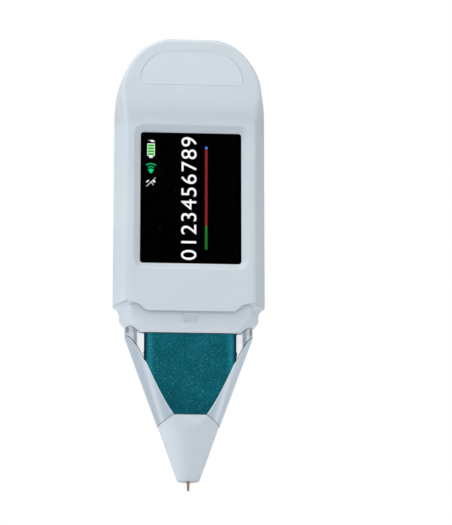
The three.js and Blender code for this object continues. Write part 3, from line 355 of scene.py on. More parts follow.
def coated_glass(name):
    """Thin cover glass with an anti-reflection coat, which the low index stands for, so that the dark
    display behind it stays dark."""
    material, tree, place = new_material(name)
    return principled(material, tree, Roughness=0.0, IOR=1.03, Transmission_Weight=1.0,
                      Base_Color=two_tones(tree, noise(tree, place, 12), "#f6f9fa", "#ffffff"))


def make_materials(colours):
    """Every finish by its key. Each is named for the real material."""
    plastics = {
        # White ABS with a satin, slightly blue-white finish: broad soft lights and almost no mirror image
        "shell": ("moulded_abs_white", colours.shell_low, colours.shell_high, 0.34),
        "collar": ("moulded_abs_white_collar", "#d8dfe4", "#dce3e8", 0.4),
        "nose": ("moulded_abs_white_nose", "#dbe2e8", "#e0e7ec", 0.42),
        # The badge is the same plastic from a polished mould
        "badge": ("moulded_abs_white_polished", "#dae2e7", "#dde5ea", 0.26, 0.8, 0.004),
        # Matt black PBT, as small mouldings and chip packages are
        "black": ("moulded_pbt_black", "#1b1c1e", "#232427", 0.52, 0.25, 0.01),
        # Nylon, as connectors and the bush are moulded of
        "cream": ("moulded_nylon_cream", "#e3dcc9", "#e9e3d3", 0.5),
        # Polycarbonate that scatters the lamp's light
        "milky": ("milky_polycarbonate", "#d0dadf", "#d8e1e6", 0.3, 0.8, 0.004),
    }
    metals = {
        # Bright chrome plating on ABS: a mirror with a very faint orange peel
        "chrome": ("chrome_plating", "#e4e7ea", "#eef0f2", 0.06, 4.0, (1, 1, 1), 0.002),
        # Satin silver paint: metallic, with its highlight spread wide
        "silver": ("satin_silver_paint", "#d0dae1", "#d8e1e8", 0.3, 0.4),
        # Gold plating on the copper pin, turned: warm and slightly streaked round its axis
        "gold": ("gold_plated_copper", "#a08560", "#bb9d74", 0.22, 0.5, (1, 1, 6), 0.003),
        # Brass from the lathe: fine rings round its axis
        "brass": ("turned_brass", "#a9853f", "#c19a50", 0.3, 0.5, (1, 1, 8)),
        # Steel under a dull nickel plating, as screws and the socket's shell have
        "nickel": ("nickel_plated_steel", "#b3b2ae", "#c3c2be", 0.24, 1.2, (1, 1, 1), 0.003),
        # Bare drawn wire
        "spring": ("drawn_spring_steel", "#8a8d90", "#a0a3a6", 0.28, 0.6, (1, 1, 1), 0.003),
        # The pouch's foil is laminated between films, so it shines softly and creases
        "foil": ("laminated_battery_foil", "#a9adb1", "#bfc3c7", 0.36, 6.0, (1, 1, 0.5), 0.05),
    }
    # The display's lit marks, each of one colour
    marks = {
        "white_mark": ("lit_white", "#f4f6f8", "#ffffff"),
        "green_mark": ("lit_green", "#00b404", "#02c00a"),
        "pale_green_mark": ("lit_pale_green", "#b4efb0", "#c2f5bd"),
        "sound_mark": ("lit_sea_green", "#05cf7c", "#0cdb88"),
        "red_mark": ("lit_dull_red", "#841e20", "#8e2426"),
        "dark_green_mark": ("lit_dark_green", "#1d6c22", "#227628"),
        "blue_mark": ("lit_blue", "#2f74e8", "#3f84f0"),
    }
    made = {key: make(*row) for make, rows in ((moulded, plastics), (metal, metals), (lit_mark, marks))
            for key, row in rows.items()}
    # The pale teal is a painted highlight beside the panels' edges, the navy a painted dark reflection along
    # them, and the pale blue-green the flakes' painted glints
    made["teal"] = flake_lacquer("teal_flake_lacquer", colours.teal_low, colours.teal_high, "#157a87",
                                 "#042b49", "#72bec6")
    made["module"] = display_glass("black_display_glass")
    made["board"] = solder_mask("green_solder_mask")
    made["lens"] = coated_glass("coated_lens_glass")
    return made


# Modelling helpers

MATERIALS = {}


def end_edit():
    bpy.ops.object.mode_set(mode="OBJECT")


def only(piece):
    """Makes one object the only selected and the active one."""
    if bpy.context.object and bpy.context.object.mode != "OBJECT":
        end_edit()
    bpy.ops.object.select_all(action="DESELECT")
    piece.select_set(True)
    bpy.context.view_layer.objects.active = piece


def edit_all(piece):
    """Goes into edit mode with all of a piece selected."""
    only(piece)
    bpy.ops.object.mode_set(mode="EDIT")
    bpy.ops.mesh.select_all(action="SELECT")


def face_outwards():
    """Turns the faces of the piece that is being edited outwards, and ends the edit."""
    bpy.ops.mesh.select_all(action="SELECT")
    bpy.ops.mesh.normals_make_consistent(inside=False)
    end_edit()


def settled(piece, name=None):
    """Puts an object's place and turn into its mesh."""
    only(piece)
    bpy.ops.object.transform_apply(location=True, rotation=True, scale=True)
    if name:
        piece.name = name
        piece.data.name = name
    return piece


def box_between(low, high, name="cutter"):
    """A box between two corners, in millimetres."""
    bpy.ops.object.select_all(action="DESELECT")
    low, high = Vector(low) * MM, Vector(high) * MM
    bpy.ops.mesh.primitive_cube_add(size=1, location=(low + high) / 2)
    bpy.context.object.scale = high - low
    return settled(bpy.context.object, name)


def frustum_between(radii, heights, name="cutter", sides=ROUND_SIDES, x=0):
    """A frustum on a vertical axis, by its radius and height at the foot and the head, in millimetres."""
    bpy.ops.object.select_all(action="DESELECT")
    bpy.ops.mesh.primitive_cone_add(vertices=sides, radius1=radii[0] * MM, radius2=radii[1] * MM,
                                    depth=(heights[1] - heights[0]) * MM,
                                    location=(x * MM, 0, sum(heights) / 2 * MM))
    return settled(bpy.context.object, name)


def cone_part(depth, foot, head):
    """The sharpening cone between two heights, at a depth under its surface."""
    return frustum_between((cone_radius(foot, depth), cone_radius(head, depth)), (foot, head))


def disc(name, sides, radius, place, turn=0.0, fill="NGON"):
    """A flat disc, or with no fill its rim, turned about X, in millimetres."""
    bpy.ops.object.select_all(action="DESELECT")
    bpy.ops.mesh.primitive_circle_add(vertices=sides, radius=radius * MM, fill_type=fill,
                                      location=[value * MM for value in place], rotation=(turn, 0, 0))
    return settled(bpy.context.object, name)


def turned(name, profile, sides):
    """A turned solid: a disc that is extruded and resized along its [radius, height] pairs."""
    radius, height = profile[0]
    piece = disc(name, sides, radius, (0, 0, height))
    edit_all(piece)
    for next_radius, next_height in profile[1:]:
        rise = (next_height - height) * MM
        share = next_radius / radius
        bpy.ops.mesh.extrude_region_move(TRANSFORM_OT_translate={"value": (0, 0, rise)})
        bpy.ops.transform.resize(value=(share, share, 1), center_override=(0, 0, next_height * MM))
        radius, height = next_radius, next_height
    face_outwards()
    return piece


def combine(piece, operation, *others):
    """Booleans of a mesh with others, which it takes up one after another."""
    for other in others:
        only(piece)
        change = piece.modifiers.new(operation.lower(), "BOOLEAN")
        change.operation = operation
        change.object = other
        change.solver = "EXACT"
        bpy.ops.object.modifier_apply(modifier=change.name)
        bpy.data.objects.remove(other)
    return piece


def cut(piece, *cutters):
    """Takes cutters away from a piece."""
    return combine(piece, "DIFFERENCE", *cutters)


def copied(node, name):
    """A new object with a CAD node's mesh of its own, its doubles merged and flat faces joined."""
    piece = bpy.data.objects.new(name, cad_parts[node].data.copy())
    piece.data.materials.clear()
    bpy.context.scene.collection.objects.link(piece)
    edit_all(piece)
    bpy.ops.mesh.remove_doubles(threshold=0.002 * MM)
    bpy.ops.mesh.dissolve_limited(angle_limit=math.radians(0.3))
    end_edit()
    return piece


def pick(piece, test=None, kind="VERT"):
    """Goes into edit mode with those vertices, edges or faces selected whose points in mm pass a test, or
    with all of them."""
    only(piece)
    bpy.ops.object.mode_set(mode="EDIT")
    bpy.ops.mesh.select_mode(type=kind)
    bpy.ops.mesh.select_all(action="DESELECT")
    end_edit()
    mesh = piece.data
    for row in {"VERT": mesh.vertices, "EDGE": mesh.edges, "FACE": mesh.polygons}[kind]:
        ends = [row.co] if kind == "VERT" else [mesh.vertices[i].co for i in row.vertices]
        row.select = not test or test([end / MM for end in ends])
    bpy.ops.object.mode_set(mode="EDIT")


def moved(piece, way, test=None):
    """Moves the points that pass a test, or all."""
    pick(piece, test)
    bpy.ops.transform.translate(value=[part * MM for part in way])
    end_edit()
    return piece


def cut_off(piece, point, normal):
    """Cuts a piece by a plane and drops what lies on the side that the normal points to."""
    pick(piece)
    bpy.ops.mesh.bisect(plane_co=Vector(point) * MM, plane_no=normal, use_fill=True, clear_outer=True)
    end_edit()
    return piece


def round_edges(piece, test, width, segments=3):
    """Rounds the edges whose ends pass a test of their places in mm."""
    pick(piece, test, "EDGE")
    bpy.ops.mesh.bevel(offset=width * MM, segments=segments, affect="EDGES", clamp_overlap=True)
    end_edit()


def upright(ends):
    """Tells whether an edge rises by more than a millimetre."""
    return abs(ends[0].z - ends[1].z) > 1


def soften(piece, width=0, segments=2, angle=30, smooth=35):
    """Rounds the edges that are sharper than an angle, and smooths what is left."""
    only(piece)
    if width:
        bevel = piece.modifiers.new("edges", "BEVEL")
        bevel.width = width * MM
        bevel.segments = segments
        bevel.limit_method = "ANGLE"
        bevel.angle_limit = math.radians(angle)
        bevel.use_clamp_overlap = True
        bpy.ops.object.modifier_apply(modifier=bevel.name)
    bpy.ops.object.shade_smooth_by_angle(angle=math.radians(smooth))
    weighted = piece.modifiers.new("weights", "WEIGHTED_NORMAL")
    weighted.keep_sharp = True
    weighted.weight = 60
    bpy.ops.object.modifier_apply(modifier=weighted.name)
    return piece


def put(piece, material, node=None, body="housing"):
    """Gives a finished piece its material and body, and hides the CAD node that it stands for."""
    piece.data.materials.clear()
    piece.data.materials.append(MATERIALS[material])
    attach(piece, body)
    if node:
        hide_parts(node)


def dressed(node, name, material, body="housing", edge=0, segments=2):
    """A copy of a CAD node, softened, that stands for it."""
    put(soften(copied(node, name), edge, segments), material, node, body)


# Sizes, colours and lights that a user would change

class TesterSizes(bpy.types.PropertyGroup):
    """Sizes that the pieces are made to."""
    shell_edge: FloatProperty(
        name="Shell edge", description="Radius on the edge of the covers' foot", default=0.35 * MM,
        unit="LENGTH", subtype="DISTANCE")
    chrome_edge: FloatProperty(
        name="Chrome edge", description="Radius on the edges of the chrome columns", default=0.15 * MM,
        unit="LENGTH", subtype="DISTANCE")


class TesterColours(bpy.types.PropertyGroup):
    """Colours of the covers and the grip panels."""
    shell_low: FloatVectorProperty(
        name="Covers, low tone", description="Darker tone of the white covers",
        default=linear("#d6dee3")[:3], subtype="COLOR")
    shell_high: FloatVectorProperty(
        name="Covers, high tone", description="Lighter tone of the white covers",
        default=linear("#dbe3e7")[:3], subtype="COLOR")
    teal_low: FloatVectorProperty(
        name="Lacquer, low tone", description="Darker tone of the teal grip panels",
        default=linear("#014853")[:3], subtype="COLOR")
    teal_high: FloatVectorProperty(
        name="Lacquer, high tone", description="Lighter tone of the teal grip panels",
        default=linear("#086976")[:3], subtype="COLOR")


class TesterStudio(bpy.types.PropertyGroup):
    """The studio's lights."""
    left_power: FloatProperty(
        name="Left light", description="Power of the tall left lamp", default=12.8, unit="POWER")
    right_power: FloatProperty(
        name="Right light", description="Power of the tall right lamp", default=3.3, unit="POWER")
    top_power: FloatProperty(
        name="Top light", description="Power of the top lamp", default=7.1, unit="POWER")
    front_power: FloatProperty(
        name="Front light", description="Power of the front lamp", default=1.45, unit="POWER")
    back_power: FloatProperty(
        name="Back light", description="Power of the lamp behind", default=4.5, unit="POWER")
    ambient: FloatProperty(
        name="Ambient", description="Strength of the even light from all round", default=0.42)


# The covers

class TESTER_OT_covers(bpy.types.Operator):
    """Make the white covers and the badge panel"""
    bl_idname = "tester.covers"
    bl_label = "Covers"

    def execute(self, context):
        front = copied("front_cover", "front_cover_moulding")
        aside, below, above = RECESS_REACH
        round_edges(front, lambda ends: all(
            abs(end.y - SCREEN_FACE) < 0.01 and abs(end.x) < lens_high.x + aside
            and lens_low.z - below < end.z < lens_high.z + above for end in ends), RECESS_EDGE)
        round_edges(front, lambda ends: all(
            abs(end.z - COVER_FOOT) < 0.02 and end.y < COVER_FOOT_BACK for end in ends),
            context.scene.tester_sizes.shell_edge / MM)
        for way in (-1, 1):
            pick(front, lambda ends: way * ends[0].x > RIDGE_INNER and ends[0].y < RIDGE_BACK
                 and COVER_FOOT - 0.05 < ends[0].z < RIDGE_HEAD)
            bpy.ops.transform.resize(value=(RIDGE_SHARE, RIDGE_SHARE, 1),
                                     center_override=(way * RIDGE_X * MM, SCREEN_FACE * MM, 0))
            end_edit()
        put(soften(front), "shell", "front_cover")
        dressed("rear_cover", "rear_cover_moulding", "shell")
        badge = copied("badge_panel", "badge_plate")
        low, high = node_box("badge_panel")
        wider, taller = (1 + 2 * BADGE_GROWTH / (high[i] - low[i]) for i in (0, 2))
        pick(badge)
        bpy.ops.transform.resize(value=(wider, 1, taller), center_override=(low + high) / 2 * MM)
        end_edit()
        put(soften(badge, BADGE_EDGE), "badge", "badge_panel")
        return {"FINISHED"}


# The neck's and the nose's forms

def column_bar(depth, foot, head, name="cutter"):
    """The neck's bar at a depth under its skin: an ellipse whose halves are moved apart."""
    bpy.ops.object.select_all(action="DESELECT")
    bpy.ops.mesh.primitive_cylinder_add(vertices=ROUND_SIDES, radius=1, depth=(head - foot) * MM,
                                        location=(0, 0, (foot + head) / 2 * MM),
                                        rotation=(0, 0, math.pi / ROUND_SIDES))
    bar = settled(bpy.context.object, name)
    bar.scale = ((NECK_HALF - NECK_FLAT - depth) * MM, (NECK_FACE - depth) * MM, 1)
    settled(bar)
    for way in (-1, 1):
        moved(bar, (way * NECK_FLAT, 0, 0), lambda ends: way * ends[0].x > 0)
    return bar


def panel_bar(grow, foot, head, name="cutter"):
    """A bar through both grip panels. Its corners are rounded while it is stretched, so they roll off
    flatter."""
    half, face = PANEL_HALF + grow, PANEL_FACE + grow
    stretch = PANEL_ROUND / (PANEL_ROLL + grow)
    bar = box_between((-half, -face * stretch, foot), (half, face * stretch, head), name)
    round_edges(bar, upright, PANEL_ROUND, 10)
    bar.scale = (1, 1 / stretch, 1)
    return settled(bar)


def under_roof(rise):
    """A block under the roof-shaped seam between the nose and the neck."""
    ridge = NOSE_HEAD + rise
    block = box_between((-30, -20, -5), (30, 20, ridge))
    for way in (-1, 1):
        cut_off(block, (way * ROOF_HALF, 0, ridge), (way * ROOF_FALL, 0, 1))
    return block


def collar_wedge(gap):
    """The collar's outer form below its flare, grown by a gap."""
    wedge = copied("collar", "cutter")
    pick(wedge, lambda ends: ends[0].z > BAND_HEAD)
    bpy.ops.mesh.delete(type="VERT")
    bpy.ops.mesh.select_all(action="SELECT")
    bpy.ops.mesh.convex_hull()
    bpy.ops.mesh.select_all(action="SELECT")
    bpy.ops.mesh.normals_make_consistent(inside=False)
    bpy.ops.transform.shrink_fatten(value=gap * MM, use_even_offset=True)
    end_edit()
    return wedge


def make_neck_shell():
    """The chrome shell: round columns, beds for the rails, pockets for the panels and a tenon."""
    shell = column_bar(0, BAR_FOOT, BAR_HEAD, "neck_columns")
    combine(shell, "INTERSECT", cone_part(PANEL_EDGE, BAR_FOOT - 1, BAR_HEAD + 1))
    bed = column_bar(SKIN, BAR_FOOT - 1, BAR_HEAD + 2)
    cut(bed, cone_part(RAIL_THICKNESS + SEAM, BAR_FOOT - 2, BAR_HEAD + 3))
    cut(shell, under_roof(HAIR), collar_wedge(SEAM), bed)
    half = NECK_FLAT + POCKET_GAP
    for way in (-1, 1):
        near, far = sorted((way * (NECK_FACE - SKIN - POCKET_GAP), way * NECK_HALF))
        cut(shell, box_between((-half, near, 0), (half, far, 80)))
    hollow = column_bar(SKIN + SHELL_WALL, BAR_FOOT - 1, NECK_HEAD - 2)
    inner_cone = cone_part(RAIL_THICKNESS + SEAM + SHELL_WALL, BAR_FOOT - 1.5, NECK_HEAD - 1)
    cut(shell, combine(hollow, "INTERSECT", inner_cone))
    wide, deep = TENON_HALVES
    tenon = box_between((-wide, -deep, TENON_FOOT), (wide, deep, TENON_HEAD))
    round_edges(tenon, upright, TENON_ROUND, 6)
    combine(shell, "UNION", tenon)
    wide, deep = TENON_BORE_HALVES
    cut(shell, box_between((-wide, -deep, NECK_HEAD - 5), (wide, deep, NECK_HEAD + 5)))
    for way in (-1, 1):
        cut(shell, frustum_between((SCREW_HOLE, SCREW_HOLE), (NECK_HEAD - 0.7, NECK_HEAD + 5), sides=24,
                                   x=way * SCREW_X))
    return shell


def make_rail(name, way):
    """A rail on the cone's cut: a thin lip out to the neck's faces and a body let into the shell."""
    rail = column_bar(0, BAR_FOOT, BAR_HEAD, name)
    combine(rail, "UNION", panel_bar(RAIL_PROUD, BAR_FOOT, BAR_HEAD))
    combine(rail, "INTERSECT", cone_part(0, BAR_FOOT - 1, BAR_HEAD + 1))
    under_lip = cone_part(RAIL_LIP, BAR_FOOT - 1, BAR_HEAD + 2)
    cut(under_lip, column_bar(SKIN + SEAM, BAR_FOOT - 2, BAR_HEAD + 3))
    cut(rail, under_roof(HAIR), cone_part(RAIL_THICKNESS, BAR_FOOT - 2, BAR_HEAD + 3), under_lip)
    return cut_off(rail, (0, 0, 0), (-way, 0, 0))


def make_panel(name, way):
    """A grip panel with rolled upright edges, cut to a point by the cone."""
    panel = panel_bar(0, BAR_FOOT, NECK_HEAD - SEAM, name)
    combine(panel, "INTERSECT", cone_part(PANEL_EDGE, BAR_FOOT - 1, BAR_HEAD))
    cut(panel, under_roof(HAIR))
    return cut_off(panel, (0, way * (NECK_FACE - SKIN), 0), (0, -way, 0))


def make_nose():
    """The nose: the cone's end with flats that run out, a rounded rim, a spigot and a stepped bore."""
    head = NOSE_HEAD + 2
    nose = frustum_between((cone_radius(NOSE_FOOT), cone_radius(head, NOSE_STEP)), (NOSE_FOOT, head),
                           "nose_moulding")
    round_edges(nose, lambda ends: max(end.z for end in ends) < NOSE_FOOT + 0.01, NOSE_RIM, 5)
    for way in (-1, 1):
        cut_off(nose, (0, way * NOSE_FACE, 0), (0, way, 0))
        cut_off(nose, (way * ROOF_HALF, 0, NOSE_HEAD - HAIR), (way * ROOF_FALL, 0, 1))
    cut_off(nose, (0, 0, NOSE_HEAD - HAIR), (0, 0, 1))
    # The flats run out round a radius, in three shaves on either side
    blend = NOSE_FOOT + (NOSE_FACE - NOSE_END_RADIUS) / CONE_SLOPE + RUN_OUT_RISE
    for degrees in (5, 10, 15):
        tilt = math.radians(degrees)
        inward, down = RUN_OUT_RADIUS * (1 - math.cos(tilt)), RUN_OUT_RADIUS * math.sin(tilt)
        for way in (-1, 1):
            near, far = sorted((0, way * 10))
            shave = box_between((-20, near, -15), (20, far, 15))
            shave.rotation_euler.x = -way * tilt
            shave.location = Vector((0, way * (NOSE_FACE - inward), blend - down)) * MM
            cut(nose, settled(shave))
    # Rings across the long faces let them shade evenly
    for height in NOSE_RINGS:
        pick(nose)
        bpy.ops.mesh.bisect(plane_co=(0, 0, height * MM), plane_no=(0, 0, 1))
        end_edit()
    spigot = cone_part(RAIL_THICKNESS + SEAM + SHELL_WALL + SPIGOT_GAP, NOSE_SEAT, NOSE_HEAD + 5)
    combine(spigot, "INTERSECT", column_bar(SKIN + SHELL_WALL + SPIGOT_GAP, NOSE_SEAT - 1, NOSE_HEAD + 6))
    combine(nose, "UNION", spigot)
    for radius, heights, sides in ((0.85, (NOSE_FOOT - 1, BAR_FOOT + 1), 40),
                                   (2.45, (BAR_FOOT, NOSE_SEAT + 1), 40),
                                   (4.65, (NOSE_SEAT, NOSE_HEAD + 7), 48)):
        cut(nose, frustum_between((radius, radius), heights, sides=sides))
    return nose


# The display's marks, at [x, z] places in millimetres

def raised(piece):
    """Turns a flat mark into a thin sheet."""
    edit_all(piece)
    bpy.ops.mesh.extrude_region_move(TRANSFORM_OT_translate={"value": (0, -MARK_THICKNESS * MM, 0)})
    face_outwards()
    return piece


def bar_mark(low, high, radius, tilt=0.0, layer=0):
    """A bar with round corners between two corners, turned about its middle. A layer lies on those below."""
    bpy.ops.object.select_all(action="DESELECT")
    middle = Vector((low[0] + high[0], 2 * (MARK_BACK - layer * MARK_THICKNESS), low[1] + high[1])) / 2 * MM
    bpy.ops.mesh.primitive_plane_add(size=1, location=middle, rotation=(RIGHT_ANGLE, 0, 0))
    bar = bpy.context.object
    bar.scale = ((high[0] - low[0]) * MM, (high[1] - low[1]) * MM, 1)
    bar.rotation_euler.rotate_axis("Z", tilt)
    edit_all(settled(bar, "mark"))
    bpy.ops.mesh.bevel(offset=radius * MM, segments=4, affect="VERTICES")
    return raised(bar)


def shape_mark(*corners):
    """Any shape: a disc whose rim points are moved one by one to the shape's corners."""
    shape = disc("mark", len(corners), 0.5, (0, MARK_BACK, 0), RIGHT_ANGLE)
    for number, (x, z) in enumerate(corners):
        start = shape.data.vertices[number].co.copy()
        for vertex in shape.data.vertices:
            vertex.select = vertex.index == number
        for part in (*shape.data.edges, *shape.data.polygons):
            part.select = False
        bpy.ops.object.mode_set(mode="EDIT")
        bpy.ops.transform.translate(value=(x * MM - start.x, 0, z * MM - start.z))
        end_edit()
    return raised(shape)


def arc_mark(middle, radius, width, spread):
    """Part of a ring, open to both sides of upright by an angle."""
    place = (middle[0], MARK_BACK, middle[1])
    ring = disc("mark", 72, radius + width / 2, place, RIGHT_ANGLE)
    edit_all(ring)
    bpy.ops.mesh.inset(thickness=width * MM)
    bpy.ops.mesh.delete(type="FACE")
    for way in (-1, 1):
        bpy.ops.mesh.select_all(action="SELECT")
        bpy.ops.mesh.bisect(plane_co=[value * MM for value in place], clear_outer=True,
                            plane_no=(way * math.cos(spread), 0, -math.sin(spread)))
    return raised(ring)


def put_marks(name, material, *marks):
    """Joins marks of one colour to one piece on the display."""
    only(marks[0])
    for mark in marks[1:]:
        mark.select_set(True)
    if len(marks) > 1:
        bpy.ops.object.join()
    put(settled(bpy.context.object, name), material)


def make_battery_mark():
    """A battery that stands on its terminal, with four bars of charge, and a charging bolt over it."""
    case = bar_mark((-13.66, 104.48), (-11.34, 108.5), 0.07)
    cut(case, bar_mark((-13.44, 104.68), (-11.56, 108.28), 0.05))
    terminal = bar_mark((-13.07, 103.85), (-11.93, 104.55), 0.04)
    bolt = shape_mark((-13.55, 109.6), (-12.62, 109.52), (-12.32, 109.82), (-12.0, 109.6), (-11.6, 109.45),
                      (-11.2, 108.98), (-11.7, 109.15), (-12.05, 108.92), (-12.5, 109.08), (-12.7, 109.35))
    bars = [bar_mark((-13.4, foot), (-11.6, foot + 0.58), 0.05, layer=1)
            for foot in (104.73, 105.67, 106.61, 107.55)]
    put_marks("mark_battery_bars", "green_mark", *bars)
    put_marks("mark_battery_level", "pale_green_mark", bar_mark((-13.42, 104.7), (-11.58, 108.26), 0.05))
    put_marks("mark_battery_case", "white_mark", case, terminal, bolt)


def make_sound_mark():
    """A loudspeaker with two arcs of sound over it."""
    cone = shape_mark((-12.88, 98.95), (-12.08, 98.95), (-11.98, 99.5), (-11.45, 100.15), (-12.1, 100.15),
                      (-12.47, 100.4), (-12.85, 100.15), (-13.5, 100.15), (-12.98, 99.5))
    arcs = [arc_mark((-12.47, 99.65), radius, 0.27, math.radians(41)) for radius in (1.34, 2.3)]
    put_marks("mark_sound", "sound_mark", cone, *arcs)


def make_slashed_mark():
    """A slash over a small crossed sign."""
    put_marks("mark_slashed", "white_mark",
              bar_mark((-14.5, 95.92), (-10.38, 96.08), 0.06, math.radians(45)),
              shape_mark((-14.1, 95.95), (-13.25, 96.7), (-13.0, 96.5), (-13.55, 95.9)),
              shape_mark((-11.75, 96.5), (-11.5, 96.65), (-10.95, 95.95), (-11.4, 95.9), (-11.85, 96.15)),
              bar_mark((-12.6, 95.38), (-11.4, 95.56), 0.06, math.radians(-48)))


def make_digits():
    """A row of plain digits that reads upwards along the display."""
    bpy.ops.object.select_all(action="DESELECT")
    bpy.ops.object.text_add(location=(0, 0, 0))
    digits = bpy.context.object
    digits.data.body = "0123456789"
    digits.data.space_character = 1.12
    digits.data.resolution_u = 8
    bpy.ops.object.convert(target="MESH")
    xs, ys = zip(*(vertex.co.xy for vertex in digits.data.vertices))
    along = (DIGITS_HEAD - DIGITS_FOOT) / (max(xs) - min(xs)) * MM
    across = (DIGITS_RIGHT - DIGITS_LEFT) / (max(ys) - min(ys)) * MM
    digits.matrix_world = (Matrix.Translation(Vector((DIGITS_RIGHT, MARK_BACK, DIGITS_FOOT)) * MM)
                           @ Matrix(((0, -across, 0, 0), (0, 0, 1, 0), (along, 0, 0, 0), (0, 0, 0, 1)))
                           @ Matrix.Translation((-min(xs), -min(ys), 0)))
    put_marks("mark_digits", "white_mark", raised(settled(digits)))


def make_scale_mark():
    """The measuring scale: a red and a green stretch, with a blue dot at the reading."""
    put_marks("mark_scale_high", "red_mark", bar_mark((4.51, 82.27), (5.29, 107.1), 0.12))
    put_marks("mark_scale_low", "dark_green_mark", bar_mark((4.51, 74.6), (5.29, 82.27), 0.3))
    put_marks("mark_reading", "blue_mark", bar_mark((4.47, 106.98), (5.33, 107.84), 0.4, layer=1))


class TESTER_OT_display(bpy.types.Operator):
    """Make the lens, the display module and its lit marks"""
    bl_idname = "tester.display"
    bl_label = "Display"

    def execute(self, context):
        dressed("display_window", "display_lens_glass", "lens")
        dressed("display_panel", "display_module_glass", "module")
        make_battery_mark()
        make_sound_mark()
        make_slashed_mark()
        make_digits()
        make_scale_mark()
        return {"FINISHED"}


class TESTER_OT_neck(bpy.types.Operator):
    """Make the chrome shell, the grip panels and the side rails of the neck"""
    bl_idname = "tester.neck"
    bl_label = "Neck"

    def execute(self, context):
        edge = context.scene.tester_sizes.chrome_edge / MM
        put(soften(make_neck_shell(), edge), "chrome", "neck_shell")
        for name, way in (("front", -1), ("rear", 1)):
            panel = make_panel(f"grip_plate_{name}", way)
            put(soften(panel, PANEL_TRIM), "teal", f"grip_panel_{name}")
        for name, way in (("left", -1), ("right", 1)):
            rail = make_rail(f"rail_trim_{name}", way)
            put(soften(rail, RAIL_TRIM), "silver", f"side_rail_{name}")
        return {"FINISHED"}


class TESTER_OT_nose(bpy.types.Operator):
    """Make the nose and the probe pin"""
    bl_idname = "tester.nose"
    bl_label = "Nose and pin"

    def execute(self, context):
        put(soften(make_nose(), NOSE_TRIM, angle=45, smooth=50), "nose", "nose_cone")
        shoulder, head = NOSE_FOOT + 5, node_box("probe_pin")[1].z
        pin = turned("pin_turned", [(0.26, 0), (0.32, 0.03), (0.36, 0.1), (0.5, NOSE_FOOT),
                                    (0.5, shoulder - 0.5), (0.8, shoulder), (0.8, head)], 40)
        put(soften(pin), "gold", "probe_pin", "probe")
        return {"FINISHED"}


class TESTER_OT_spring(bpy.types.Operator):
    """Make the return spring's coil at its resting length; the real spring shortens as the probe slides in"""
    bl_idname = "tester.spring"
    bl_label = "Return spring"

    def execute(self, context):
        low, high = node_box("return_spring")
        length = high.z - low.z
        wire = SPRING_WIRE / 2
        spring = disc("return_spring_coil", 12, wire, (high.x - wire, 0, low.z + wire), RIGHT_ANGLE,
                      "NOTHING")
        coil = spring.modifiers.new("coil", "SCREW")
        coil.axis = "Z"
        coil.angle = 2 * math.pi
        coil.iterations = SPRING_TURNS
        coil.screw_offset = (length - SPRING_WIRE) / SPRING_TURNS * MM
        coil.steps = coil.render_steps = 32
        bpy.ops.object.modifier_apply(modifier=coil.name)
        edit_all(spring)
        bpy.ops.mesh.fill_holes(sides=12)
        face_outwards()
        put(soften(spring), "spring", "return_spring")
        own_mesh(spring)
        return {"FINISHED"}


class TESTER_OT_collar(bpy.types.Operator):
    """Make the collar and the light pipe in its notch"""
    bl_idname = "tester.collar"
    bl_label = "Collar"

    def execute(self, context):
        face = collar_low.y
        collar = copied("collar", "collar_moulding")
        round_edges(collar, lambda ends: abs(ends[0].z - ends[1].z) > 0.1 and all(
            abs(abs(end.y) + face) < 0.01 and abs(end.x) > COLLAR_CORNER_X and end.z < COLLAR_CORNER_HEAD
            for end in ends), COLLAR_CORNER, 5)
        moved(collar, (0, 0, FLARE_LIFT), lambda ends: abs(ends[0].z - FLARE_HEAD) < 0.03)
        low, high = node_box("status_light_pipe")
        wide, tall = NOTCH_SIZE
        notch_foot = low.z - SEAM
        round_edges(collar, lambda ends: all(
            abs(end.x) < wide / 2 + 0.05 and abs(end.y - face) < 0.05
            and notch_foot - 0.05 < end.z < notch_foot + tall + 0.05 for end in ends), NOTCH_ROUND, 6)
        put(soften(collar), "collar", "collar")
        # The pipe's front fills the notch and lies at the end of its rounded rim
        pipe = copied("status_light_pipe", "light_pipe_moulding")
        pick(pipe, lambda ends: ends[0].y < low.y + 0.05)
        bpy.ops.transform.resize(
            value=((wide - 0.01) / (high.x - low.x), 1, (tall - 0.01) / (tall - 2 * SEAM)),
            center_override=(0, low.y * MM, (notch_foot + tall / 2) * MM))
        bpy.ops.transform.translate(value=(0, (face + NOTCH_ROUND - low.y) * MM, 0))
        end_edit()
        put(soften(pipe), "milky", "status_light_pipe")
        return {"FINISHED"}


class TESTER_OT_button(bpy.types.Operator):
    """Make the power button"""
    bl_idname = "tester.button"
    bl_label = "Power button"

    def execute(self, context):
        dressed("power_button", "power_button_cap", "silver", "power_key", BUTTON_EDGE, 3)
        return {"FINISHED"}


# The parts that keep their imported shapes, by their finish
INNER_FINISHES = {
    "black": ("display_bracket", "buzzer", "controller_chip", "power_switch", "spring_seat", "heater_element",
              "switch_stem"),
    "nickel": ("usb_socket", "cover_screw_1", "cover_screw_2", "cover_screw_3", "cover_screw_4",
               "board_screw_1", "board_screw_2", "neck_screw_left", "neck_screw_right"),
    "cream": ("battery_connector", "probe_guide"),
    "milky": ("status_led",),
    "board": ("main_board",),
    "foil": ("battery",),
    "brass": ("heater_block",),
}


class TESTER_OT_fittings(bpy.types.Operator):
    """Finish the fittings and the parts inside the covers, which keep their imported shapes"""
    bl_idname = "tester.fittings"
    bl_label = "Fittings and inner parts"

    def execute(self, context):
        for material, nodes in INNER_FINISHES.items():
            for node in nodes:
                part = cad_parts[node]
                part.data.materials.clear()
                part.data.materials.append(MATERIALS[material])
        return {"FINISHED"}


# The studio

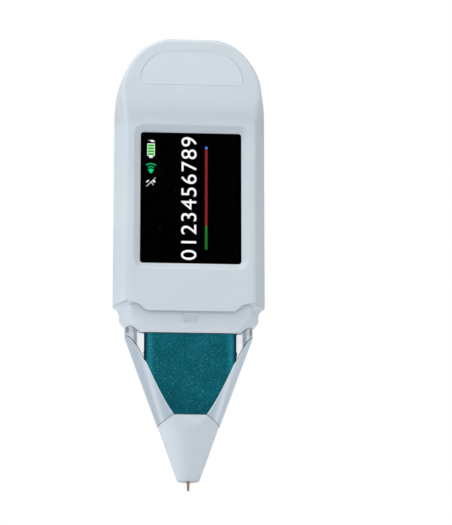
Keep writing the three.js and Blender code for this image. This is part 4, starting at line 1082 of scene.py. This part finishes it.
def make_camera():
    """The photograph's camera: a long lens below the pin, looking up at the screen."""
    data = bpy.data.cameras.new("camera")
    camera = bpy.data.objects.new("camera", data)
    bpy.context.scene.collection.objects.link(camera)
    data.sensor_fit = "HORIZONTAL"
    data.sensor_width = 36
    data.lens = CAMERA_LENS
    data.clip_start, data.clip_end = 0.05, 20
    turn = Euler([math.radians(angle) for angle in CAMERA_TURN])
    camera.matrix_world = Matrix.LocRotScale(Vector(CAMERA_PLACE) * MM, turn, None)
    bpy.context.scene.camera = camera


def make_world(studio):
    """White wherever it is seen, also in mirror images and through glass, and an even light elsewhere."""
    world = bpy.data.worlds.new("studio")
    bpy.context.scene.world = world
    world.use_nodes = True
    tree = world.node_tree
    tree.nodes.clear()
    path = add_node(tree, "ShaderNodeLightPath").outputs
    seen = calc(tree, "MAXIMUM", path["Is Camera Ray"], path["Is Glossy Ray"])
    seen = calc(tree, "MAXIMUM", seen, path["Is Transmission Ray"])
    ambient = add_node(tree, "ShaderNodeBackground", Color=linear("#f4f8ff"), Strength=studio.ambient)
    white = add_node(tree, "ShaderNodeBackground", Color=linear("#ffffff"), Strength=1.0)
    add_node(tree, "ShaderNodeOutputWorld", Surface=layered(tree, seen, ambient, white).outputs[0])


def bands_round(tree, place, bands):
    """Tones by the angle round the upright axis, from the front to the back, the same on both sides."""
    axes = add_node(tree, "ShaderNodeSeparateXYZ", Vector=place).outputs
    side, front = calc(tree, "ABSOLUTE", axes["X"]), calc(tree, "MULTIPLY", axes["Y"], -1.0)
    share = calc(tree, "DIVIDE", calc(tree, "ARCTAN2", side, front), math.pi)
    ramp = add_node(tree, "ShaderNodeValToRGB", Fac=share)
    steps = ramp.color_ramp.elements
    for angle, tone in bands[1:-1]:
        steps.new(angle / 180)
    for step, (angle, tone) in zip(steps, bands):
        step.position = angle / 180
        step.color = linear(tone)
    return ramp.outputs["Color"]


def make_floor():
    """A pale floor at the pin's tip, seen only from above. Away from the object it fades to the white
    background for the camera, and mirror images see its bands of tone."""
    floor = disc("floor", 96, FLOOR_RADIUS, (0, 0, 0))
    material, tree, place = new_material("pale_studio_floor")
    path = add_node(tree, "ShaderNodeLightPath").outputs
    facing = add_node(tree, "ShaderNodeNewGeometry")
    paper = add_node(tree, "ShaderNodeBsdfPrincipled", Roughness=0.8,
                     Base_Color=two_tones(tree, noise(tree, place, 180), "#e6e9ec", "#eaedf0"))
    distance = add_node(tree, "ShaderNodeVectorMath", {"operation": "LENGTH"}, Vector=place)
    far = ranged(tree, distance.outputs["Value"], FLOOR_FADE, steps="SMOOTHSTEP")
    backdrop = add_node(tree, "ShaderNodeEmission", Color=linear("#ffffff"), Strength=1.0)
    faded = layered(tree, calc(tree, "MULTIPLY", far, path["Is Camera Ray"]), paper, backdrop)
    bands = add_node(tree, "ShaderNodeEmission", Color=bands_round(tree, place, FLOOR_BANDS), Strength=1.12)
    mirrored = layered(tree, path["Is Glossy Ray"], faded, bands)
    clear = add_node(tree, "ShaderNodeBsdfTransparent")
    close_material(tree, layered(tree, facing.outputs["Backfacing"], mirrored, clear))
    floor.data.materials.append(material)


def make_card():
    """A curved card round the sides and back of the set. Only mirror images show it: its grey bands give
    the chrome its dark and bright strips."""
    bpy.ops.object.select_all(action="DESELECT")
    bpy.ops.mesh.primitive_cylinder_add(vertices=120, radius=CARD_RADIUS * MM, depth=1.5,
                                        end_fill_type="NOTHING", location=(0, 0, 0.45))
    card = settled(bpy.context.object, "card")
    opening = CARD_RADIUS * math.cos(math.radians(CARD_OPENING))
    pick(card, lambda ends: sum(end.y for end in ends) / len(ends) < -opening, "FACE")
    bpy.ops.mesh.delete(type="FACE")
    end_edit()
    material, tree, place = new_material("grey_card_bands")
    axes = add_node(tree, "ShaderNodeSeparateXYZ", Vector=place)
    height = ranged(tree, axes.outputs["Z"], CARD_FOOT_REACH)
    tones = blended(tree, height, linear(CARD_FOOT), bands_round(tree, place, CARD_BANDS))
    close_material(tree, add_node(tree, "ShaderNodeEmission", Color=tones, Strength=1.0))
    card.data.materials.append(material)
    card.visible_camera = card.visible_diffuse = card.visible_shadow = card.visible_transmission = False


def make_lamps(studio):
    """Area lamps, with their sizes and places in metres, that point at the screen's middle."""
    for name, size, place in (("left", (0.9, 2.4), (-1.2, -0.25, 0.15)),
                              ("right", (0.7, 1.8), (1.15, -0.5, 0.15)),
                              ("top", (1.2, 0.8), (-0.2, -0.35, 1.35)),
                              ("front", (1.2, 0.8), (0, -1.15, 0.75)),
                              ("back", (1.4, 1.0), (0.25, 1.3, 0.6))):
        data = bpy.data.lights.new(name, "AREA")
        data.energy = getattr(studio, f"{name}_power")
        data.shape = "RECTANGLE"
        data.size, data.size_y = size
        lamp = bpy.data.objects.new(name, data)
        bpy.context.scene.collection.objects.link(lamp)
        lamp.location = place
        lamp.rotation_mode = "QUATERNION"
        lamp.rotation_quaternion = (Vector((0, 0, 0.09)) - Vector(place)).to_track_quat("-Z", "Y")


class TESTER_OT_stage(bpy.types.Operator):
    """Set the floor, the lamps, the reflection card and the camera"""
    bl_idname = "tester.stage"
    bl_label = "Studio"

    def execute(self, context):
        make_camera()
        make_world(context.scene.tester_studio)
        make_floor()
        make_card()
        make_lamps(context.scene.tester_studio)
        return {"FINISHED"}


# The add-on

class TESTER_PT_panel(bpy.types.Panel):
    """Shows the tester's settings and the steps that make it"""
    bl_idname = "TESTER_PT_panel"
    bl_label = "Diamond tester"
    bl_space_type = "VIEW_3D"
    bl_region_type = "UI"
    bl_category = "Tester"

    def draw(self, context):
        for key in ("tester_sizes", "tester_colours", "tester_studio"):
            group = getattr(context.scene, key)
            for name in group.__annotations__:
                self.layout.prop(group, name)
        for operator in OPERATORS:
            self.layout.operator(operator.bl_idname)


OPERATORS = (TESTER_OT_covers, TESTER_OT_display, TESTER_OT_collar, TESTER_OT_neck, TESTER_OT_nose,
             TESTER_OT_spring, TESTER_OT_button, TESTER_OT_fittings, TESTER_OT_stage)
CLASSES = (TesterSizes, TesterColours, TesterStudio, *OPERATORS, TESTER_PT_panel)


def register():
    for item in CLASSES:
        bpy.utils.register_class(item)
    bpy.types.Scene.tester_sizes = PointerProperty(type=TesterSizes)
    bpy.types.Scene.tester_colours = PointerProperty(type=TesterColours)
    bpy.types.Scene.tester_studio = PointerProperty(type=TesterStudio)


def unregister():
    del bpy.types.Scene.tester_studio
    del bpy.types.Scene.tester_colours
    del bpy.types.Scene.tester_sizes
    for item in reversed(CLASSES):
        bpy.utils.unregister_class(item)


def main():
    register()
    MATERIALS.update(make_materials(bpy.context.scene.tester_colours))
    bpy.context.scene.view_settings.view_transform = "Standard"
    for operator in OPERATORS:
        group, name = operator.bl_idname.split(".")
        getattr(getattr(bpy.ops, group), name)()


if __name__ == "__main__":
    main()
